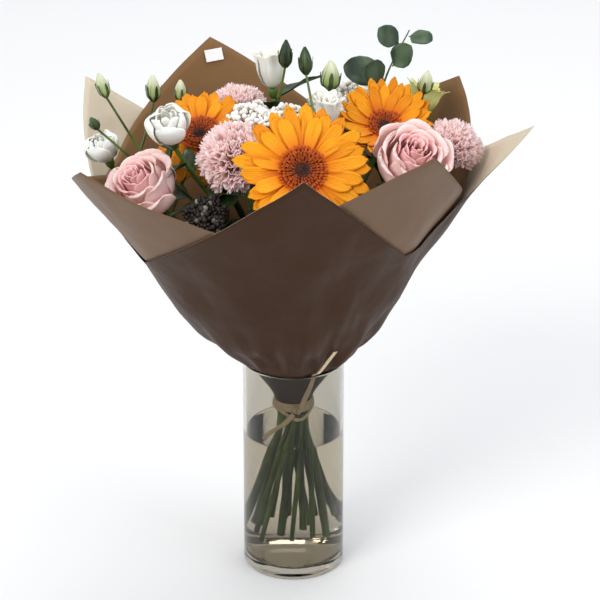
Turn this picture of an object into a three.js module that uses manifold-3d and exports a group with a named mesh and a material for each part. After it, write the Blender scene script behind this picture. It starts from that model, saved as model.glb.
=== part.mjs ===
// A florist's bouquet in a glass cylinder vase: three gerberas, two roses, three carnations, five
// lisianthus, lisianthus buds, eucalyptus and rice flower, wrapped in two square paper sheets.
// Millimetres, +Z up, the front towards -Y. The origin is the centre of the vase's underside.

import * as THREE from 'three';
import { mergeVertices } from 'three/addons/utils/BufferGeometryUtils.js';
import Module from 'manifold-3d';

const wasm = await Module();
wasm.setup();

// ---------------------------------------------------------------- driving dimensions

// Between two pieces that touch.
const GAP = 0.3;

// Glass vase and water.
const VASE_RADIUS = 45;
const VASE_HEIGHT = 205;
const GLASS_WALL = 2.8;
const GLASS_BASE = 9.5;
const LIP_ROUND = 1.1;
const WATER_DEPTH = 123;

// Raffia tie, with its middle this far below the vase's rim.
const TIE_BELOW_RIM = 44;
const BAND_HEIGHT = 9;
const BAND_THICKNESS = 1.6;
const KNOT_RADIUS = 5.5;
const TAIL_RADIUS = 0.9;

// Paper: two square sheets, each gathered round the stems at its middle.
const PAPER_THICKNESS = 0.5;
const SHEET_SPREAD = 1.8;
const NECK_HEIGHT = 15;
const LIP_LEAN = 57;
const LIP_CROSSING = 1.4;
const BELL_MOUTH_RADIUS = 46.5;
const BELL_ABOVE_RIM = 1.6;
const PAPER_PAST_GLASS = 1.5;
const BELL_LENGTHS = [43, 45, 45];
const BELL_LEANS = [50, 33, 29];
const TOP_LEAN = 34;
const BELL_FACTORS = [0.91, -0.12, -0.1, -0.105];
const EDGE_BOW = 0.5;
const PAPER_COLUMNS = 40;
const LABEL_SIZE = [16, 11, 0.5];
const LABEL_SHARE = 0.76;
const LABEL_STAND_OFF = 0.7;

// Stems: the clear way between two at the tie, the swing of the spiral at the reference height above
// the tie, and the clear way between the outermost foot and the glass.
const STEM_GAP = 0.45;
const SPIRAL_SWING = 13;
const SPIRAL_HEIGHT = 235;
const FOOT_CLEARANCE = 1.8;
const DATUM_BELOW_RIM = 44;
const STEM_SIDES = 6;
const NECK_OF_BLOOM = 62;

const TIE_HEIGHT = VASE_HEIGHT - TIE_BELOW_RIM;
const FLOWER_DATUM = VASE_HEIGHT - DATUM_BELOW_RIM;
const BORE_RADIUS = VASE_RADIUS - GLASS_WALL;
const WATER_LEVEL = GLASS_BASE + WATER_DEPTH;

// Paper corners: azimuth from the front, counted towards +X, the corner's length from the tie, its
// outward curl in degrees, then for the edge that follows it the shortest length from the tie and
// the share of the edge's turn at which it comes.
const OUTER_CORNERS = [
  { azimuth: 3.4, length: 316, curl: 0, nearest: 196, share: 0.7 },
  { azimuth: 84, length: 336, curl: 9, nearest: 225, share: 0.5 },
  { azimuth: 168, length: 285, curl: 0, nearest: 215, share: 0.5 },
  { azimuth: 237, length: 334, curl: 0, nearest: 198, share: 0.4 },
];
const INNER_CORNERS = [
  { azimuth: 45, length: 326, curl: 0, nearest: 240, share: 0.5 },
  { azimuth: 127.5, length: 316, curl: 0, nearest: 245, share: 0.5 },
  { azimuth: 202, length: 331, curl: 0, nearest: 250, share: 0.5 },
  { azimuth: 297, length: 322, curl: 0, nearest: 236, share: 0.45 },
];

// Flowers. Places are x and y from the vase's axis and the height above the flowers' datum. The foot is
// the cut end's height above the glass base.
const GERBERAS = [
  { name: 'gerbera_front', at: [8, -81, 260], facing: [0.02, -0.78, 0.63], radius: 58, cup: 3, disc: 19, foot: 14 },
  { name: 'gerbera_right', at: [79, 30, 252], facing: [0.08, -0.5, 0.86], radius: 42, cup: 16, disc: 15, foot: 24 },
  { name: 'gerbera_left', at: [-81, 34, 243], facing: [-0.15, -0.5, 0.85], radius: 47, cup: 3, disc: 16, foot: 20 },
];
const ROSES = [
  { name: 'rose_left', at: [-128, -40, 226], facing: [-0.42, -0.42, 0.8], radius: 37, foot: 17 },
  { name: 'rose_right', at: [101, -51, 257], facing: [0.22, -0.55, 0.81], radius: 38, foot: 15 },
];
const CARNATIONS = [
  { name: 'carnation_left', at: [-50, -42, 255], facing: [-0.1, -0.66, 0.75], radius: 32, foot: 30 },
  { name: 'carnation_right', at: [139, 22, 238], facing: [0.42, -0.15, 0.9], radius: 26, foot: 22 },
  { name: 'carnation_back', at: [-50, 98, 240], facing: [-0.15, 0.3, 0.94], radius: 28, foot: 28 },
];
const LISIANTHUS = [
  { name: 'lisianthus_left', at: [-105, -26, 277], facing: [-0.15, -0.35, 0.92], radius: 22, height: 34, foot: 19 },
  { name: 'lisianthus_far', at: [-165, 25, 234], facing: [-0.3, -0.25, 0.92], radius: 18, height: 27, foot: 33 },
  { name: 'lisianthus_back', at: [-20, 72, 288], facing: [-0.1, 0.1, 0.99], radius: 15, height: 34, foot: 26 },
  { name: 'lisianthus_mid', at: [29, 2, 278], facing: [0.1, -0.1, 0.99], radius: 13, height: 32, foot: 35 },
  { name: 'lisianthus_green', at: [114, 76, 258], facing: [0.3, 0.2, 0.93], radius: 15, height: 26, foot: 21 },
];
// Buds on side shoots: the stem they branch from, the height of the fork above the tie, the tip.
const BUDS = [
  { name: 'bud_tall', on: 'lisianthus_side', fork: 232, tip: [-166, 0, 315], length: 24, radius: 5 },
  { name: 'bud_dark', on: 'lisianthus_side', fork: 226, tip: [-173, -8, 277], length: 13, radius: 4 },
  { name: 'bud_left_1', on: 'lisianthus_far', fork: 176, tip: [-123, 70, 284], length: 24, radius: 6 },
  { name: 'bud_left_2', on: 'lisianthus_far', fork: 164, tip: [-99, 78, 276], length: 20, radius: 5 },
  { name: 'bud_back_1', on: 'lisianthus_back', fork: 222, tip: [-6, 50, 325], length: 26, radius: 5.5 },
  { name: 'bud_back_2', on: 'lisianthus_mid', fork: 206, tip: [10, 52, 318], length: 25, radius: 5.5 },
  { name: 'bud_back_3', on: 'lisianthus_mid', fork: 196, tip: [33, 62, 301], length: 27, radius: 8 },
  { name: 'bud_right', on: 'lisianthus_green', fork: 206, tip: [117, 50, 296], length: 22, radius: 6 },
];
const LEAF_THICKNESS = 0.9;
const LEAF_STALK = 4;
const LEAF_STALK_WIDTH = 1.4;
const EUCALYPTUS_LEAFY = 85;
const SHOOT_RADIUS = 1.2;

// Rice flower: sprigs that end in a flat cluster.
const RICE_FLOWERS = [
  { name: 'rice_flower_left', at: [-40.5, 16.5, 268], facing: [-0.05, -0.2, 0.97], radius: 16.5, foot: 37 },
  { name: 'rice_flower_mid', at: [-7, 22, 268], facing: [0, -0.1, 0.99], radius: 15, foot: 38 },
  { name: 'rice_flower_back', at: [67, 110, 246], facing: [0.2, 0.35, 0.9], radius: 24, foot: 32 },
  { name: 'rice_flower_low', at: [-76, -66, 214], facing: [-0.3, -0.6, 0.74], radius: 17, foot: 31 },
];

// Eucalyptus: the stem's tip above the tie, then for each leaf the share of the stem's top stretch
// where it grows, its length, its half width, the way it points and the way its upper face looks.
const SIDE_STEM = { name: 'lisianthus_side', at: [-130, 3, 244], facing: [-0.5, 0, 0.87], foot: 36 };
const EUCALYPTUS = { name: 'eucalyptus', at: [102, 95, 316], facing: [0.62, 0.1, 0.77], foot: 25 };
const EUCALYPTUS_LEAVES = [
  { name: 'eucalyptus_leaf_1', along: 0.52, length: 36, width: 14, towards: [-1, 0.1, 0.3], facing: [0, -0.75, 0.65] },
  { name: 'eucalyptus_leaf_2', along: 0.5, length: 27, width: 12, towards: [-0.5, -0.45, 0.6], facing: [0.1, -0.8, 0.5] },
  { name: 'eucalyptus_leaf_3', along: 0.6, length: 27, width: 11, towards: [0.55, -0.2, 0.75], facing: [-0.2, -0.8, 0.5] },
  { name: 'eucalyptus_leaf_4', along: 0.84, length: 24, width: 10, towards: [-0.7, -0.1, 0.6], facing: [0.2, -0.85, 0.4] },
  { name: 'eucalyptus_leaf_5', along: 0.93, length: 24, width: 9, towards: [0.75, -0.5, 0.1], facing: [0, -0.5, 0.85] },
];

// A rose leaf and a filler leaf: the stem and the height above the tie where each grows.
const LEAVES = [
  { name: 'rose_leaf_left', on: 'rose_left', height: 178, length: 46, width: 13,
    towards: [0.75, -0.25, 0.5], facing: [0, -0.6, 0.8] },
  { name: 'filler_leaf_left', on: 'lisianthus_left', height: 244, length: 40, width: 10,
    towards: [-0.6, 0.4, 0.6], facing: [0.1, -0.8, 0.6] },
];

const STEM_RADII = { gerbera: 3.2, rose: 3, carnation: 2.3, lisianthus: 2.2, eucalyptus: 1.9, rice: 1.6, side: 1.6 };

// Raffia tails, as points from the tie's centre.
const TAIL_UP = [
  [7.4, -23.2, 2.6], [8.2, -25.6, 9], [10.7, -28.1, 17], [13.4, -30.5, 25], [15.7, -32.8, 33],
  [17.7, -34.7, 40.5], [18.6, -36.5, 44], [20.2, -38.8, 45.5], [22.1, -41.4, 47.4],
  [25.2, -45.2, 53.2], [28.9, -49.8, 61.2], [32.9, -54.5, 69.5], [37, -59, 77.8],
];
const TAIL_DOWN = [
  [0.4, -22.5, -3], [-3.6, -24.6, -6.6], [-8, -26.6, -10.5], [-12.6, -27.9, -13], [-17, -28.4, -15.6],
  [-20.8, -28.4, -18.6], [-23.8, -28, -22], [-25.8, -27.6, -25.6],
];
const TAIL_AZIMUTH = 29;

// ---------------------------------------------------------------- materials

const paint = (colour, roughness, metalness = 0) => new THREE.MeshStandardMaterial({
  color: colour,
  roughness,
  metalness,
});
const COLOURS = {
  glass: 0xd5ddd8, water: 0xcfd8d2, paperOut: 0x5a4031, paperIn: 0x857058, raffia: 0xc9ab7c, label: 0xf1efea,
  gerbera: 0xf2a01c, gerberaDisc: 0x6b2a12, rose: 0xf0b3bb, roseOuter: 0xf3cfcc, carnation: 0xf2b7c4,
  lisianthus: 0xf1eee2, green: 0x5c7a35, stem: 0x5f7d33, bud: 0x9db070, darkBud: 0x4a5a35,
  rice: 0xdcd3c8, eucalyptus: 0x51654a, yellowGreen: 0xc4c67c,
};

// ---------------------------------------------------------------- solids

const UP = new THREE.Vector3(0, 0, 1);
const radians = THREE.MathUtils.degToRad;

function solidOf(geometry) {
  const bare = geometry.index ? geometry.clone() : geometry;
  bare.deleteAttribute('normal');
  bare.deleteAttribute('uv');
  const merged = mergeVertices(bare, 1e-4);
  return new wasm.Manifold(new wasm.Mesh({
    numProp: 3,
    vertProperties: new Float32Array(merged.attributes.position.array),
    triVerts: new Uint32Array(merged.index.array),
  }));
}

function geometryOf(solid) {
  const mesh = solid.getMesh();
  const geometry = new THREE.BufferGeometry();
  geometry.setAttribute('position', new THREE.BufferAttribute(new Float32Array(mesh.vertProperties), 3));
  geometry.setIndex(new THREE.BufferAttribute(new Uint32Array(mesh.triVerts), 1));
  geometry.computeVertexNormals();
  return geometry;
}

const joined = (geometries) => geometries.map(solidOf).reduce((whole, next) => whole.add(next));

// A body turned from a profile of [radius, height] points that starts and ends on the axis.
function turned(profile, segments) {
  const lathe = new THREE.LatheGeometry(profile.map(([r, z]) => new THREE.Vector2(r, z)), segments);
  return lathe.rotateX(Math.PI / 2);
}

const evenAngles = (count) => Array.from({ length: count }, (_, i) => (2 * Math.PI * i) / count);

// A closed ring whose section, a closed loop of [radius, height], may change from angle to angle.
function ring(sectionAt, angles) {
  const positions = [];
  const index = [];
  const rows = sectionAt(0, 0).length;
  angles.forEach((angle, column) => {
    sectionAt(angle, column).forEach(([r, z]) => positions.push(r * Math.sin(angle), -r * Math.cos(angle), z));
  });
  for (let column = 0; column < angles.length; column += 1) {
    const next = (column + 1) % angles.length;
    for (let row = 0; row < rows; row += 1) {
      const below = (row + 1) % rows;
      const a = column * rows + row;
      const b = next * rows + row;
      const c = next * rows + below;
      const d = column * rows + below;
      index.push(a, b, c, a, c, d);
    }
  }
  const geometry = new THREE.BufferGeometry();
  geometry.setAttribute('position', new THREE.Float32BufferAttribute(positions, 3));
  geometry.setIndex(index);
  return geometry;
}

// A tube of round section along a curve, with its two ends square to the curve.
function tube(curve, radius, steps, sides = STEM_SIDES) {
  const section = new THREE.Shape();
  section.absarc(0, 0, radius, 0, 2 * Math.PI, false);
  return new THREE.ExtrudeGeometry(section, { steps, curveSegments: sides / 2, extrudePath: curve });
}

// A thin leaf on a short stalk that starts at the origin and lies along +X, its upper face to +Z.
function leafPlate(length, halfWidth, thickness) {
  const outline = new THREE.Shape();
  outline.moveTo(0, -LEAF_STALK_WIDTH / 2);
  outline.lineTo(LEAF_STALK, -LEAF_STALK_WIDTH / 2);
  outline.bezierCurveTo(length * 0.25, -halfWidth * 1.4, length * 0.85, -halfWidth * 1.2, length, 0);
  outline.bezierCurveTo(length * 0.85, halfWidth * 1.2, length * 0.25, halfWidth * 1.4, LEAF_STALK, LEAF_STALK_WIDTH / 2);
  outline.lineTo(0, LEAF_STALK_WIDTH / 2);
  return new THREE.ExtrudeGeometry(outline, { depth: thickness, curveSegments: 8, bevelEnabled: false });
}

// ---------------------------------------------------------------- the object

const bouquet = new THREE.Group();

function addNode(name, geometry, material, parent = bouquet) {
  geometry.computeVertexNormals();
  const mesh = new THREE.Mesh(geometry, material);
  mesh.name = name;
  parent.add(mesh);
  return mesh;
}

// ---------------------------------------------------------------- stems

const place = ([x, y, height]) => new THREE.Vector3(x, y, FLOWER_DATUM + height);
const placeAtTie = ([x, y, height]) => new THREE.Vector3(x, y, TIE_HEIGHT + height);
const direction = ([x, y, z]) => new THREE.Vector3(x, y, z).normalize();

// What each kind of flower needs below its middle before its stem begins.
const roseDepth = (radius) => radius * 0.72;
const carnationDepth = (radius) => radius * 0.72;
const gerberaDepth = 13;

function stemPlans() {
  const plans = [];
  const plan = (item, radius, depth) => {
    const facing = direction(item.facing);
    plans.push({ name: item.name, radius, foot: item.foot, facing,
      end: place(item.at).addScaledVector(facing, -depth - GAP) });
  };
  GERBERAS.forEach((item) => plan(item, STEM_RADII.gerbera, gerberaDepth));
  ROSES.forEach((item) => plan(item, STEM_RADII.rose, roseDepth(item.radius)));
  CARNATIONS.forEach((item) => plan(item, STEM_RADII.carnation, carnationDepth(item.radius)));
  LISIANTHUS.forEach((item) => plan(item, STEM_RADII.lisianthus, item.height / 2));
  RICE_FLOWERS.forEach((item) => plan(item, STEM_RADII.rice, 0));
  plan(EUCALYPTUS, STEM_RADII.eucalyptus, 0);
  plan(SIDE_STEM, STEM_RADII.side, 0);
  return plans;
}

// Stems lie side by side at the tie. Each starts where the spiral asks and is pushed clear of the rest.
function packAtTie(plans) {
  plans.forEach((stem) => {
    const height = stem.end.z - TIE_HEIGHT;
    const swing = (SPIRAL_SWING * height) / SPIRAL_HEIGHT;
    const share = 1 / (1 + swing * swing);
    stem.tie = new THREE.Vector2(stem.end.x + swing * stem.end.y, stem.end.y - swing * stem.end.x)
      .multiplyScalar(share);
  });
  const PULLED_ROUNDS = 300;
  const SETTLING_ROUNDS = 400;
  for (let round = 0; round < PULLED_ROUNDS + SETTLING_ROUNDS; round += 1) {
    if (round < PULLED_ROUNDS) {
      plans.forEach((stem) => stem.tie.multiplyScalar(0.985));
    }
    plans.forEach((first, i) => plans.slice(i + 1).forEach((second) => {
      const apart = second.tie.clone().sub(first.tie);
      const short = first.radius + second.radius + STEM_GAP - apart.length();
      if (short > 0) {
        const push = apart.setLength(short / 2);
        first.tie.sub(push);
        second.tie.add(push);
      }
    }));
  }
}

const stems = stemPlans();
packAtTie(stems);
const bundleRadius = Math.max(...stems.map((stem) => stem.tie.length() + stem.radius));

// The swing below the tie is as wide as the glass lets the outermost foot go.
const spiralPitch = Math.min(...stems.map((stem) => {
  const room = BORE_RADIUS - FOOT_CLEARANCE - stem.radius;
  const drop = TIE_HEIGHT - GLASS_BASE - stem.foot;
  return Math.sqrt((room / stem.tie.length()) ** 2 - 1) / drop;
}));
const spiralBend = (SPIRAL_SWING - spiralPitch * SPIRAL_HEIGHT) / SPIRAL_HEIGHT ** 2;
const swingAt = (height) => spiralPitch * height + (height > 0 ? spiralBend * height * height : 0);

// All stems keep to one spiral, so no two meet; each then leans to its own flower.
function onSpiral(stem, height) {
  const top = stem.end.z - TIE_HEIGHT;
  const swing = swingAt(height);
  const topSwing = swingAt(top);
  const lean = height > 0 ? (height / top) ** 2 : 0;
  const x = stem.tie.x - swing * stem.tie.y + lean * (stem.end.x - stem.tie.x + topSwing * stem.tie.y);
  const y = stem.tie.y + swing * stem.tie.x + lean * (stem.end.y - stem.tie.y - topSwing * stem.tie.x);
  return new THREE.Vector3(x, y, TIE_HEIGHT + height);
}

function stemCurve(stem, extraAtFoot = 0) {
  const foot = GLASS_BASE + stem.foot - TIE_HEIGHT - extraAtFoot;
  const top = stem.end.z - TIE_HEIGHT - NECK_OF_BLOOM;
  const heights = [foot, foot * 0.66, foot * 0.33, 0, top * 0.2, top * 0.4, top * 0.6, top * 0.8, top];
  const points = heights.map((height) => onSpiral(stem, height));
  const rising = onSpiral(stem, top + 1).sub(onSpiral(stem, top - 1)).normalize();
  const path = new THREE.CurvePath();
  path.add(new THREE.CatmullRomCurve3(points));
  path.add(new THREE.CubicBezierCurve3(
    points.at(-1),
    points.at(-1).clone().addScaledVector(rising, NECK_OF_BLOOM * 0.4),
    stem.end.clone().addScaledVector(stem.facing, -NECK_OF_BLOOM * 0.4),
    stem.end,
  ));
  return path;
}

// The middle line of a stem's tube, as closely spaced points.
const STEM_STEPS = 12;
const FINE_STEPS = 20;
function stemLine(stem) {
  const knees = stemCurve(stem).getSpacedPoints(STEM_STEPS);
  return knees.slice(1).flatMap((knee, i) => Array.from({ length: FINE_STEPS }, (_, step) => (
    knees[i].clone().lerp(knee, (step + 1) / FINE_STEPS))));
}

// The stem's middle where it passes a height above the flowers' datum.
function stemPointAt(stem, height) {
  const points = stemLine(stem);
  return points.find((point) => point.z >= FLOWER_DATUM + height) ?? points.at(-1);
}

const stemNamed = (name) => stems.find((stem) => stem.name === name);
const stemTube = (stem, spare = 0) => tube(stemCurve(stem, spare), stem.radius + spare, STEM_STEPS);

// ---------------------------------------------------------------- vase and water

function vaseGeometry() {
  const lip = VASE_HEIGHT;
  return turned([
    [0, 0], [VASE_RADIUS - 3, 0], [VASE_RADIUS, 3],
    [VASE_RADIUS, lip - LIP_ROUND], [VASE_RADIUS - LIP_ROUND, lip], [BORE_RADIUS + LIP_ROUND, lip],
    [BORE_RADIUS, lip - LIP_ROUND], [BORE_RADIUS, GLASS_BASE + 4], [BORE_RADIUS - 4, GLASS_BASE], [0, GLASS_BASE],
  ], 48);
}

function waterGeometry() {
  const side = BORE_RADIUS - GAP;
  const floor = GLASS_BASE + GAP;
  const body = solidOf(turned([
    [0, floor], [side - 4, floor], [side, floor + 4], [side, WATER_LEVEL], [0, WATER_LEVEL],
  ], 48));
  const pushedAside = stems.map((stem) => solidOf(stemTube(stem, GAP)));
  return geometryOf(pushedAside.reduce((water, stem) => water.subtract(stem), body));
}

// ---------------------------------------------------------------- paper wrap

// The paper's outer face, seen along one azimuth: a neck at the tie, over the glass lip, then a bell.
const neckRadius = bundleRadius + GAP + 2 * PAPER_THICKNESS + GAP + 0.4;
const [EVEN, FRONT_SHARE, OVAL_SHARE, RIGHT_SHARE] = BELL_FACTORS;
const bellFactor = (azimuth) => EVEN + FRONT_SHARE * Math.cos(azimuth)
  + OVAL_SHARE * Math.cos(2 * azimuth) + RIGHT_SHARE * Math.sin(azimuth);

function tailLift(azimuth) {
  const off = Math.abs(THREE.MathUtils.euclideanModulo(azimuth - radians(TAIL_AZIMUTH) + Math.PI, 2 * Math.PI) - Math.PI);
  return (2 * TAIL_RADIUS + 2 * GAP + 0.5) * Math.max(0, 1 - Math.max(0, off - radians(6)) / radians(14));
}

function bellLine(azimuth, { length, curl }) {
  const lift = tailLift(azimuth);
  const lipLean = radians(LIP_LEAN);
  const overLip = [
    BORE_RADIUS + LIP_CROSSING - (lift + GAP) * Math.cos(lipLean),
    VASE_HEIGHT + (lift + GAP) * Math.sin(lipLean),
  ];
  const inMouth = [overLip[0] - 4.4 * Math.sin(lipLean), overLip[1] - 4.4 * Math.cos(lipLean)];
  const line = [
    [neckRadius, TIE_HEIGHT - NECK_HEIGHT / 2], [neckRadius, TIE_HEIGHT + NECK_HEIGHT / 2], inMouth, overLip,
  ];
  const bellFoot = VASE_HEIGHT + BELL_ABOVE_RIM + lift * 0.6;
  line.push([VASE_RADIUS + PAPER_PAST_GLASS - lift * 0.6, bellFoot]);
  const factor = bellFactor(azimuth);
  let [r, z] = [BELL_MOUTH_RADIUS - lift * 0.6, bellFoot];
  let reached = Math.hypot(r - neckRadius, z - TIE_HEIGHT);
  const onward = (distance, degrees) => {
    const lean = radians(degrees * factor);
    [r, z] = [r + distance * Math.sin(lean), z + distance * Math.cos(lean)];
    line.push([r, z]);
    reached += distance;
  };
  BELL_LENGTHS.forEach((distance, i) => onward(distance, BELL_LEANS[i]));
  const rest = Math.max(length - reached, 6);
  onward(rest / 2, TOP_LEAN + curl / 2);
  onward(rest / 2, TOP_LEAN + curl);
  return line;
}

// A sheet's edge runs straight from corner to corner, so between them it comes nearer the tie.
function sheetReach(corners, azimuthDegrees) {
  const sectors = corners.map((corner, i) => {
    const next = corners[(i + 1) % corners.length];
    const span = THREE.MathUtils.euclideanModulo(next.azimuth - corner.azimuth, 360);
    const along = THREE.MathUtils.euclideanModulo(azimuthDegrees - corner.azimuth, 360) / span;
    return { corner, next, along };
  });
  const { corner, next, along } = sectors.find((sector) => sector.along < 1);
  const { nearest, share } = corner;
  const towards = along < share ? corner : next;
  const off = along < share ? 1 - along / share : (along - share) / (1 - share);
  const widest = Math.acos(nearest / towards.length);
  return { length: nearest / Math.cos(widest * off ** EDGE_BOW), curl: towards.curl * off ** 2 };
}

// Evenly spaced columns, the nearest one moved on to each corner, so that both sheets fold alike.
const paperAzimuths = Array.from({ length: PAPER_COLUMNS }, (_, column) => (360 * column) / PAPER_COLUMNS);
[...OUTER_CORNERS, ...INNER_CORNERS].forEach(({ azimuth }) => {
  paperAzimuths[Math.round((azimuth * PAPER_COLUMNS) / 360) % PAPER_COLUMNS] = azimuth;
});

// The line moved inwards, by one depth at the neck and by a spread more at the rim.
function inward(line, depth, spread = 0) {
  return line.map(([r, z], i) => {
    const move = depth + (spread * i) / (line.length - 1);
    const [r0, z0] = line[Math.max(i - 1, 0)];
    const [r1, z1] = line[Math.min(i + 1, line.length - 1)];
    const before = [r - r0, z - z0];
    const after = [r1 - r, z1 - z];
    const unit = ([dr, dz]) => (dr || dz ? [dr / Math.hypot(dr, dz), dz / Math.hypot(dr, dz)] : [0, 0]);
    const [ur, uz] = unit(before);
    const [vr, vz] = unit(after);
    const along = unit([ur + vr, uz + vz]);
    return [r - move * along[1], z + move * along[0]];
  });
}

// One sheet, its outer face lying this far inside the outermost face of the wrap.
function sheetGeometry(corners, depth, spread) {
  return ring((azimuth) => {
    const line = bellLine(azimuth, sheetReach(corners, THREE.MathUtils.radToDeg(azimuth)));
    return [...inward(line, depth, spread), ...inward(line, depth + PAPER_THICKNESS, spread).reverse()];
  }, paperAzimuths.map(radians));
}

// The blank label, flat on the inner sheet's inner face below its back corner.
function labelMesh() {
  const corner = INNER_CORNERS[2];
  const onPaper = (azimuthDegrees, share) => {
    const azimuth = radians(azimuthDegrees);
    const line = inward(bellLine(azimuth, corner), 2 * PAPER_THICKNESS + GAP, SHEET_SPREAD);
    const [r, z] = line.at(-2).map((value, i) => value + share * (line.at(-1)[i] - value));
    return new THREE.Vector3(r * Math.sin(azimuth), -r * Math.cos(azimuth), z);
  };
  const middle = onPaper(corner.azimuth, LABEL_SHARE);
  const up = onPaper(corner.azimuth, 1).sub(onPaper(corner.azimuth, 0)).normalize();
  const across = onPaper(corner.azimuth + 2, LABEL_SHARE).sub(onPaper(corner.azimuth - 2, LABEL_SHARE)).normalize();
  const face = across.clone().cross(up).normalize().negate();
  const mesh = addNode('blank_label', new THREE.BoxGeometry(...LABEL_SIZE), paint(COLOURS.label, 0.6));
  mesh.quaternion.setFromRotationMatrix(new THREE.Matrix4().makeBasis(across, up, across.clone().cross(up)));
  mesh.position.copy(middle).addScaledVector(face, LABEL_SIZE[2] / 2 + LABEL_STAND_OFF);
}

// ---------------------------------------------------------------- raffia

const bandRadius = neckRadius + GAP;

function tieGeometry() {
  const low = TIE_HEIGHT - BAND_HEIGHT / 2;
  const high = TIE_HEIGHT + BAND_HEIGHT / 2;
  const out = bandRadius + BAND_THICKNESS;
  const band = ring(() => [
    [bandRadius, low], [out, low], [out + 0.4, TIE_HEIGHT], [out, high], [bandRadius, high],
  ], evenAngles(36));
  const knot = new THREE.SphereGeometry(KNOT_RADIUS, 10, 6);
  knot.scale(1, 0.62, 0.8);
  knot.translate(3, -out - KNOT_RADIUS * 0.25, TIE_HEIGHT);
  return geometryOf(joined([band, knot]));
}

const tailCurve = (points) => new THREE.CatmullRomCurve3(points.map(placeAtTie));

// ---------------------------------------------------------------- flowers, each facing its own +Z

function bloomGroup(item) {
  const group = new THREE.Group();
  group.position.copy(place(item.at));
  group.quaternion.setFromUnitVectors(UP, direction(item.facing));
  bouquet.add(group);
  return group;
}

function gerberaPetals({ radius, cup, disc }) {
  const hole = disc * 0.62;
  const petals = 18;
  return ring((angle, column) => {
    const tip = column % 2 ? radius : radius * 0.9;
    const rise = (r) => cup * (r / radius) ** 2;
    return [
      [hole, -2.2], [radius * 0.6, rise(radius * 0.6) - 2], [tip, rise(tip) - 0.6], [tip - 1, rise(tip) + 1],
      [radius * 0.6, rise(radius * 0.6) + 2], [disc, 1.6], [hole, 1.6],
    ];
  }, evenAngles(petals * 2));
}

function gerberaDisc({ disc }) {
  const neck = disc * 0.62 - GAP;
  return turned([
    [0, -gerberaDepth], [5, -gerberaDepth], [neck + 3, -6], [neck + 3, -2.2 - GAP], [neck, -2.2 - GAP],
    [neck, 1.6 + GAP], [disc - 1, 1.6 + GAP], [disc, 4], [disc * 0.8, 6.5], [0, 4.8],
  ], 16);
}

function roseOuter({ radius }) {
  const low = -roseDepth(radius);
  return turned([
    [0, low], [7, low], [radius * 0.62, low * 0.78], [radius * 0.92, low * 0.22], [radius, radius * 0.3],
    [radius * 0.86, radius * 0.34], [radius * 0.76, low * 0.1], [radius * 0.5, low * 0.55], [0, low * 0.66],
  ], 16);
}

function roseHeart({ radius }) {
  const low = -roseDepth(radius);
  return turned([
    [0, low * 0.66 + 0.6], [radius * 0.5 - 1.2, low * 0.55 + 0.6], [radius * 0.74 - 1, low * 0.1],
    [radius * 0.8 - 1, radius * 0.3], [radius * 0.62, radius * 0.6], [radius * 0.3, radius * 0.72], [0, radius * 0.6],
  ], 16);
}

function carnationBloom({ radius }) {
  const low = -carnationDepth(radius);
  return turned([
    [0, low], [6, low], [radius * 0.62, low * 0.62], [radius * 0.98, low * 0.1], [radius, radius * 0.18],
    [radius * 0.8, radius * 0.5], [radius * 0.42, radius * 0.72], [0, radius * 0.8],
  ], 16);
}

function lisianthusBloom({ radius, height }) {
  const low = -height / 2;
  return turned([
    [0, low], [4.5, low], [radius * 0.7, low * 0.6], [radius * 0.95, 0], [radius, -low], [radius - 1.5, -low],
    [radius * 0.6, low * -0.75], [0, low * -0.65],
  ], 12);
}

// The green cup under a bloom, joined to the stem below it. It ends level with the stem's end.
function calyx(stem, topRadius, length) {
  const cup = turned([
    [0, -length], [stem.radius * 0.8, -length], [topRadius * 0.92, -length * 0.5], [topRadius, 0], [0, 0],
  ], 12);
  cup.applyQuaternion(new THREE.Quaternion().setFromUnitVectors(UP, stem.facing));
  cup.translate(stem.end.x, stem.end.y, stem.end.z);
  return cup;
}

// ---------------------------------------------------------------- buds, leaves and rice flower

const shootsOn = (name) => BUDS.filter((bud) => bud.on === name);

function budPose(bud) {
  const fork = stemPointAt(stemNamed(bud.on), bud.fork);
  const tip = place(bud.tip);
  const upright = tip.clone().sub(fork).normalize().add(new THREE.Vector3(0, 0, 0.8)).normalize();
  const base = tip.clone().addScaledVector(upright, -bud.length);
  return { fork, base, upright };
}

function shoot(bud) {
  const { fork, base, upright } = budPose(bud);
  const end = base.clone().addScaledVector(upright, -GAP);
  const out = end.clone().sub(fork).multiplyScalar(0.5);
  const middle = fork.clone().add(out).addScaledVector(upright, -out.length() * 0.35);
  return tube(new THREE.QuadraticBezierCurve3(fork, middle, end), SHOOT_RADIUS, 6, 6);
}

function budMesh(bud) {
  const { base, upright } = budPose(bud);
  const shape = turned([
    [0, 0], [2.4, 0], [bud.radius, bud.length * 0.35], [bud.radius * 0.7, bud.length * 0.7], [0, bud.length],
  ], 10);
  const dark = bud.name.includes('dark');
  const mesh = addNode(bud.name, shape, paint(dark ? COLOURS.darkBud : COLOURS.bud, 0.6));
  mesh.position.copy(base);
  mesh.quaternion.setFromUnitVectors(UP, upright);
}

// A leaf whose stalk starts against its stem.
function leafMesh(leaf, stem, height, colour) {
  const along = direction(leaf.towards);
  const face = direction(leaf.facing);
  face.addScaledVector(along, -face.dot(along)).normalize();
  const across = face.clone().cross(along);
  const stemPoints = stemLine(stem);
  const foot = stemPointAt(stem, height);
  const needed = stem.radius + GAP + LEAF_STALK_WIDTH / 4;
  while (Math.min(...stemPoints.map((point) => point.distanceTo(foot))) < needed) {
    foot.addScaledVector(along, 0.1);
  }
  const mesh = addNode(leaf.name, leafPlate(leaf.length, leaf.width, LEAF_THICKNESS), paint(colour, 0.6));
  mesh.quaternion.setFromRotationMatrix(new THREE.Matrix4().makeBasis(along, across, face));
  mesh.position.copy(foot).addScaledVector(face, -LEAF_THICKNESS / 2);
}

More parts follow.
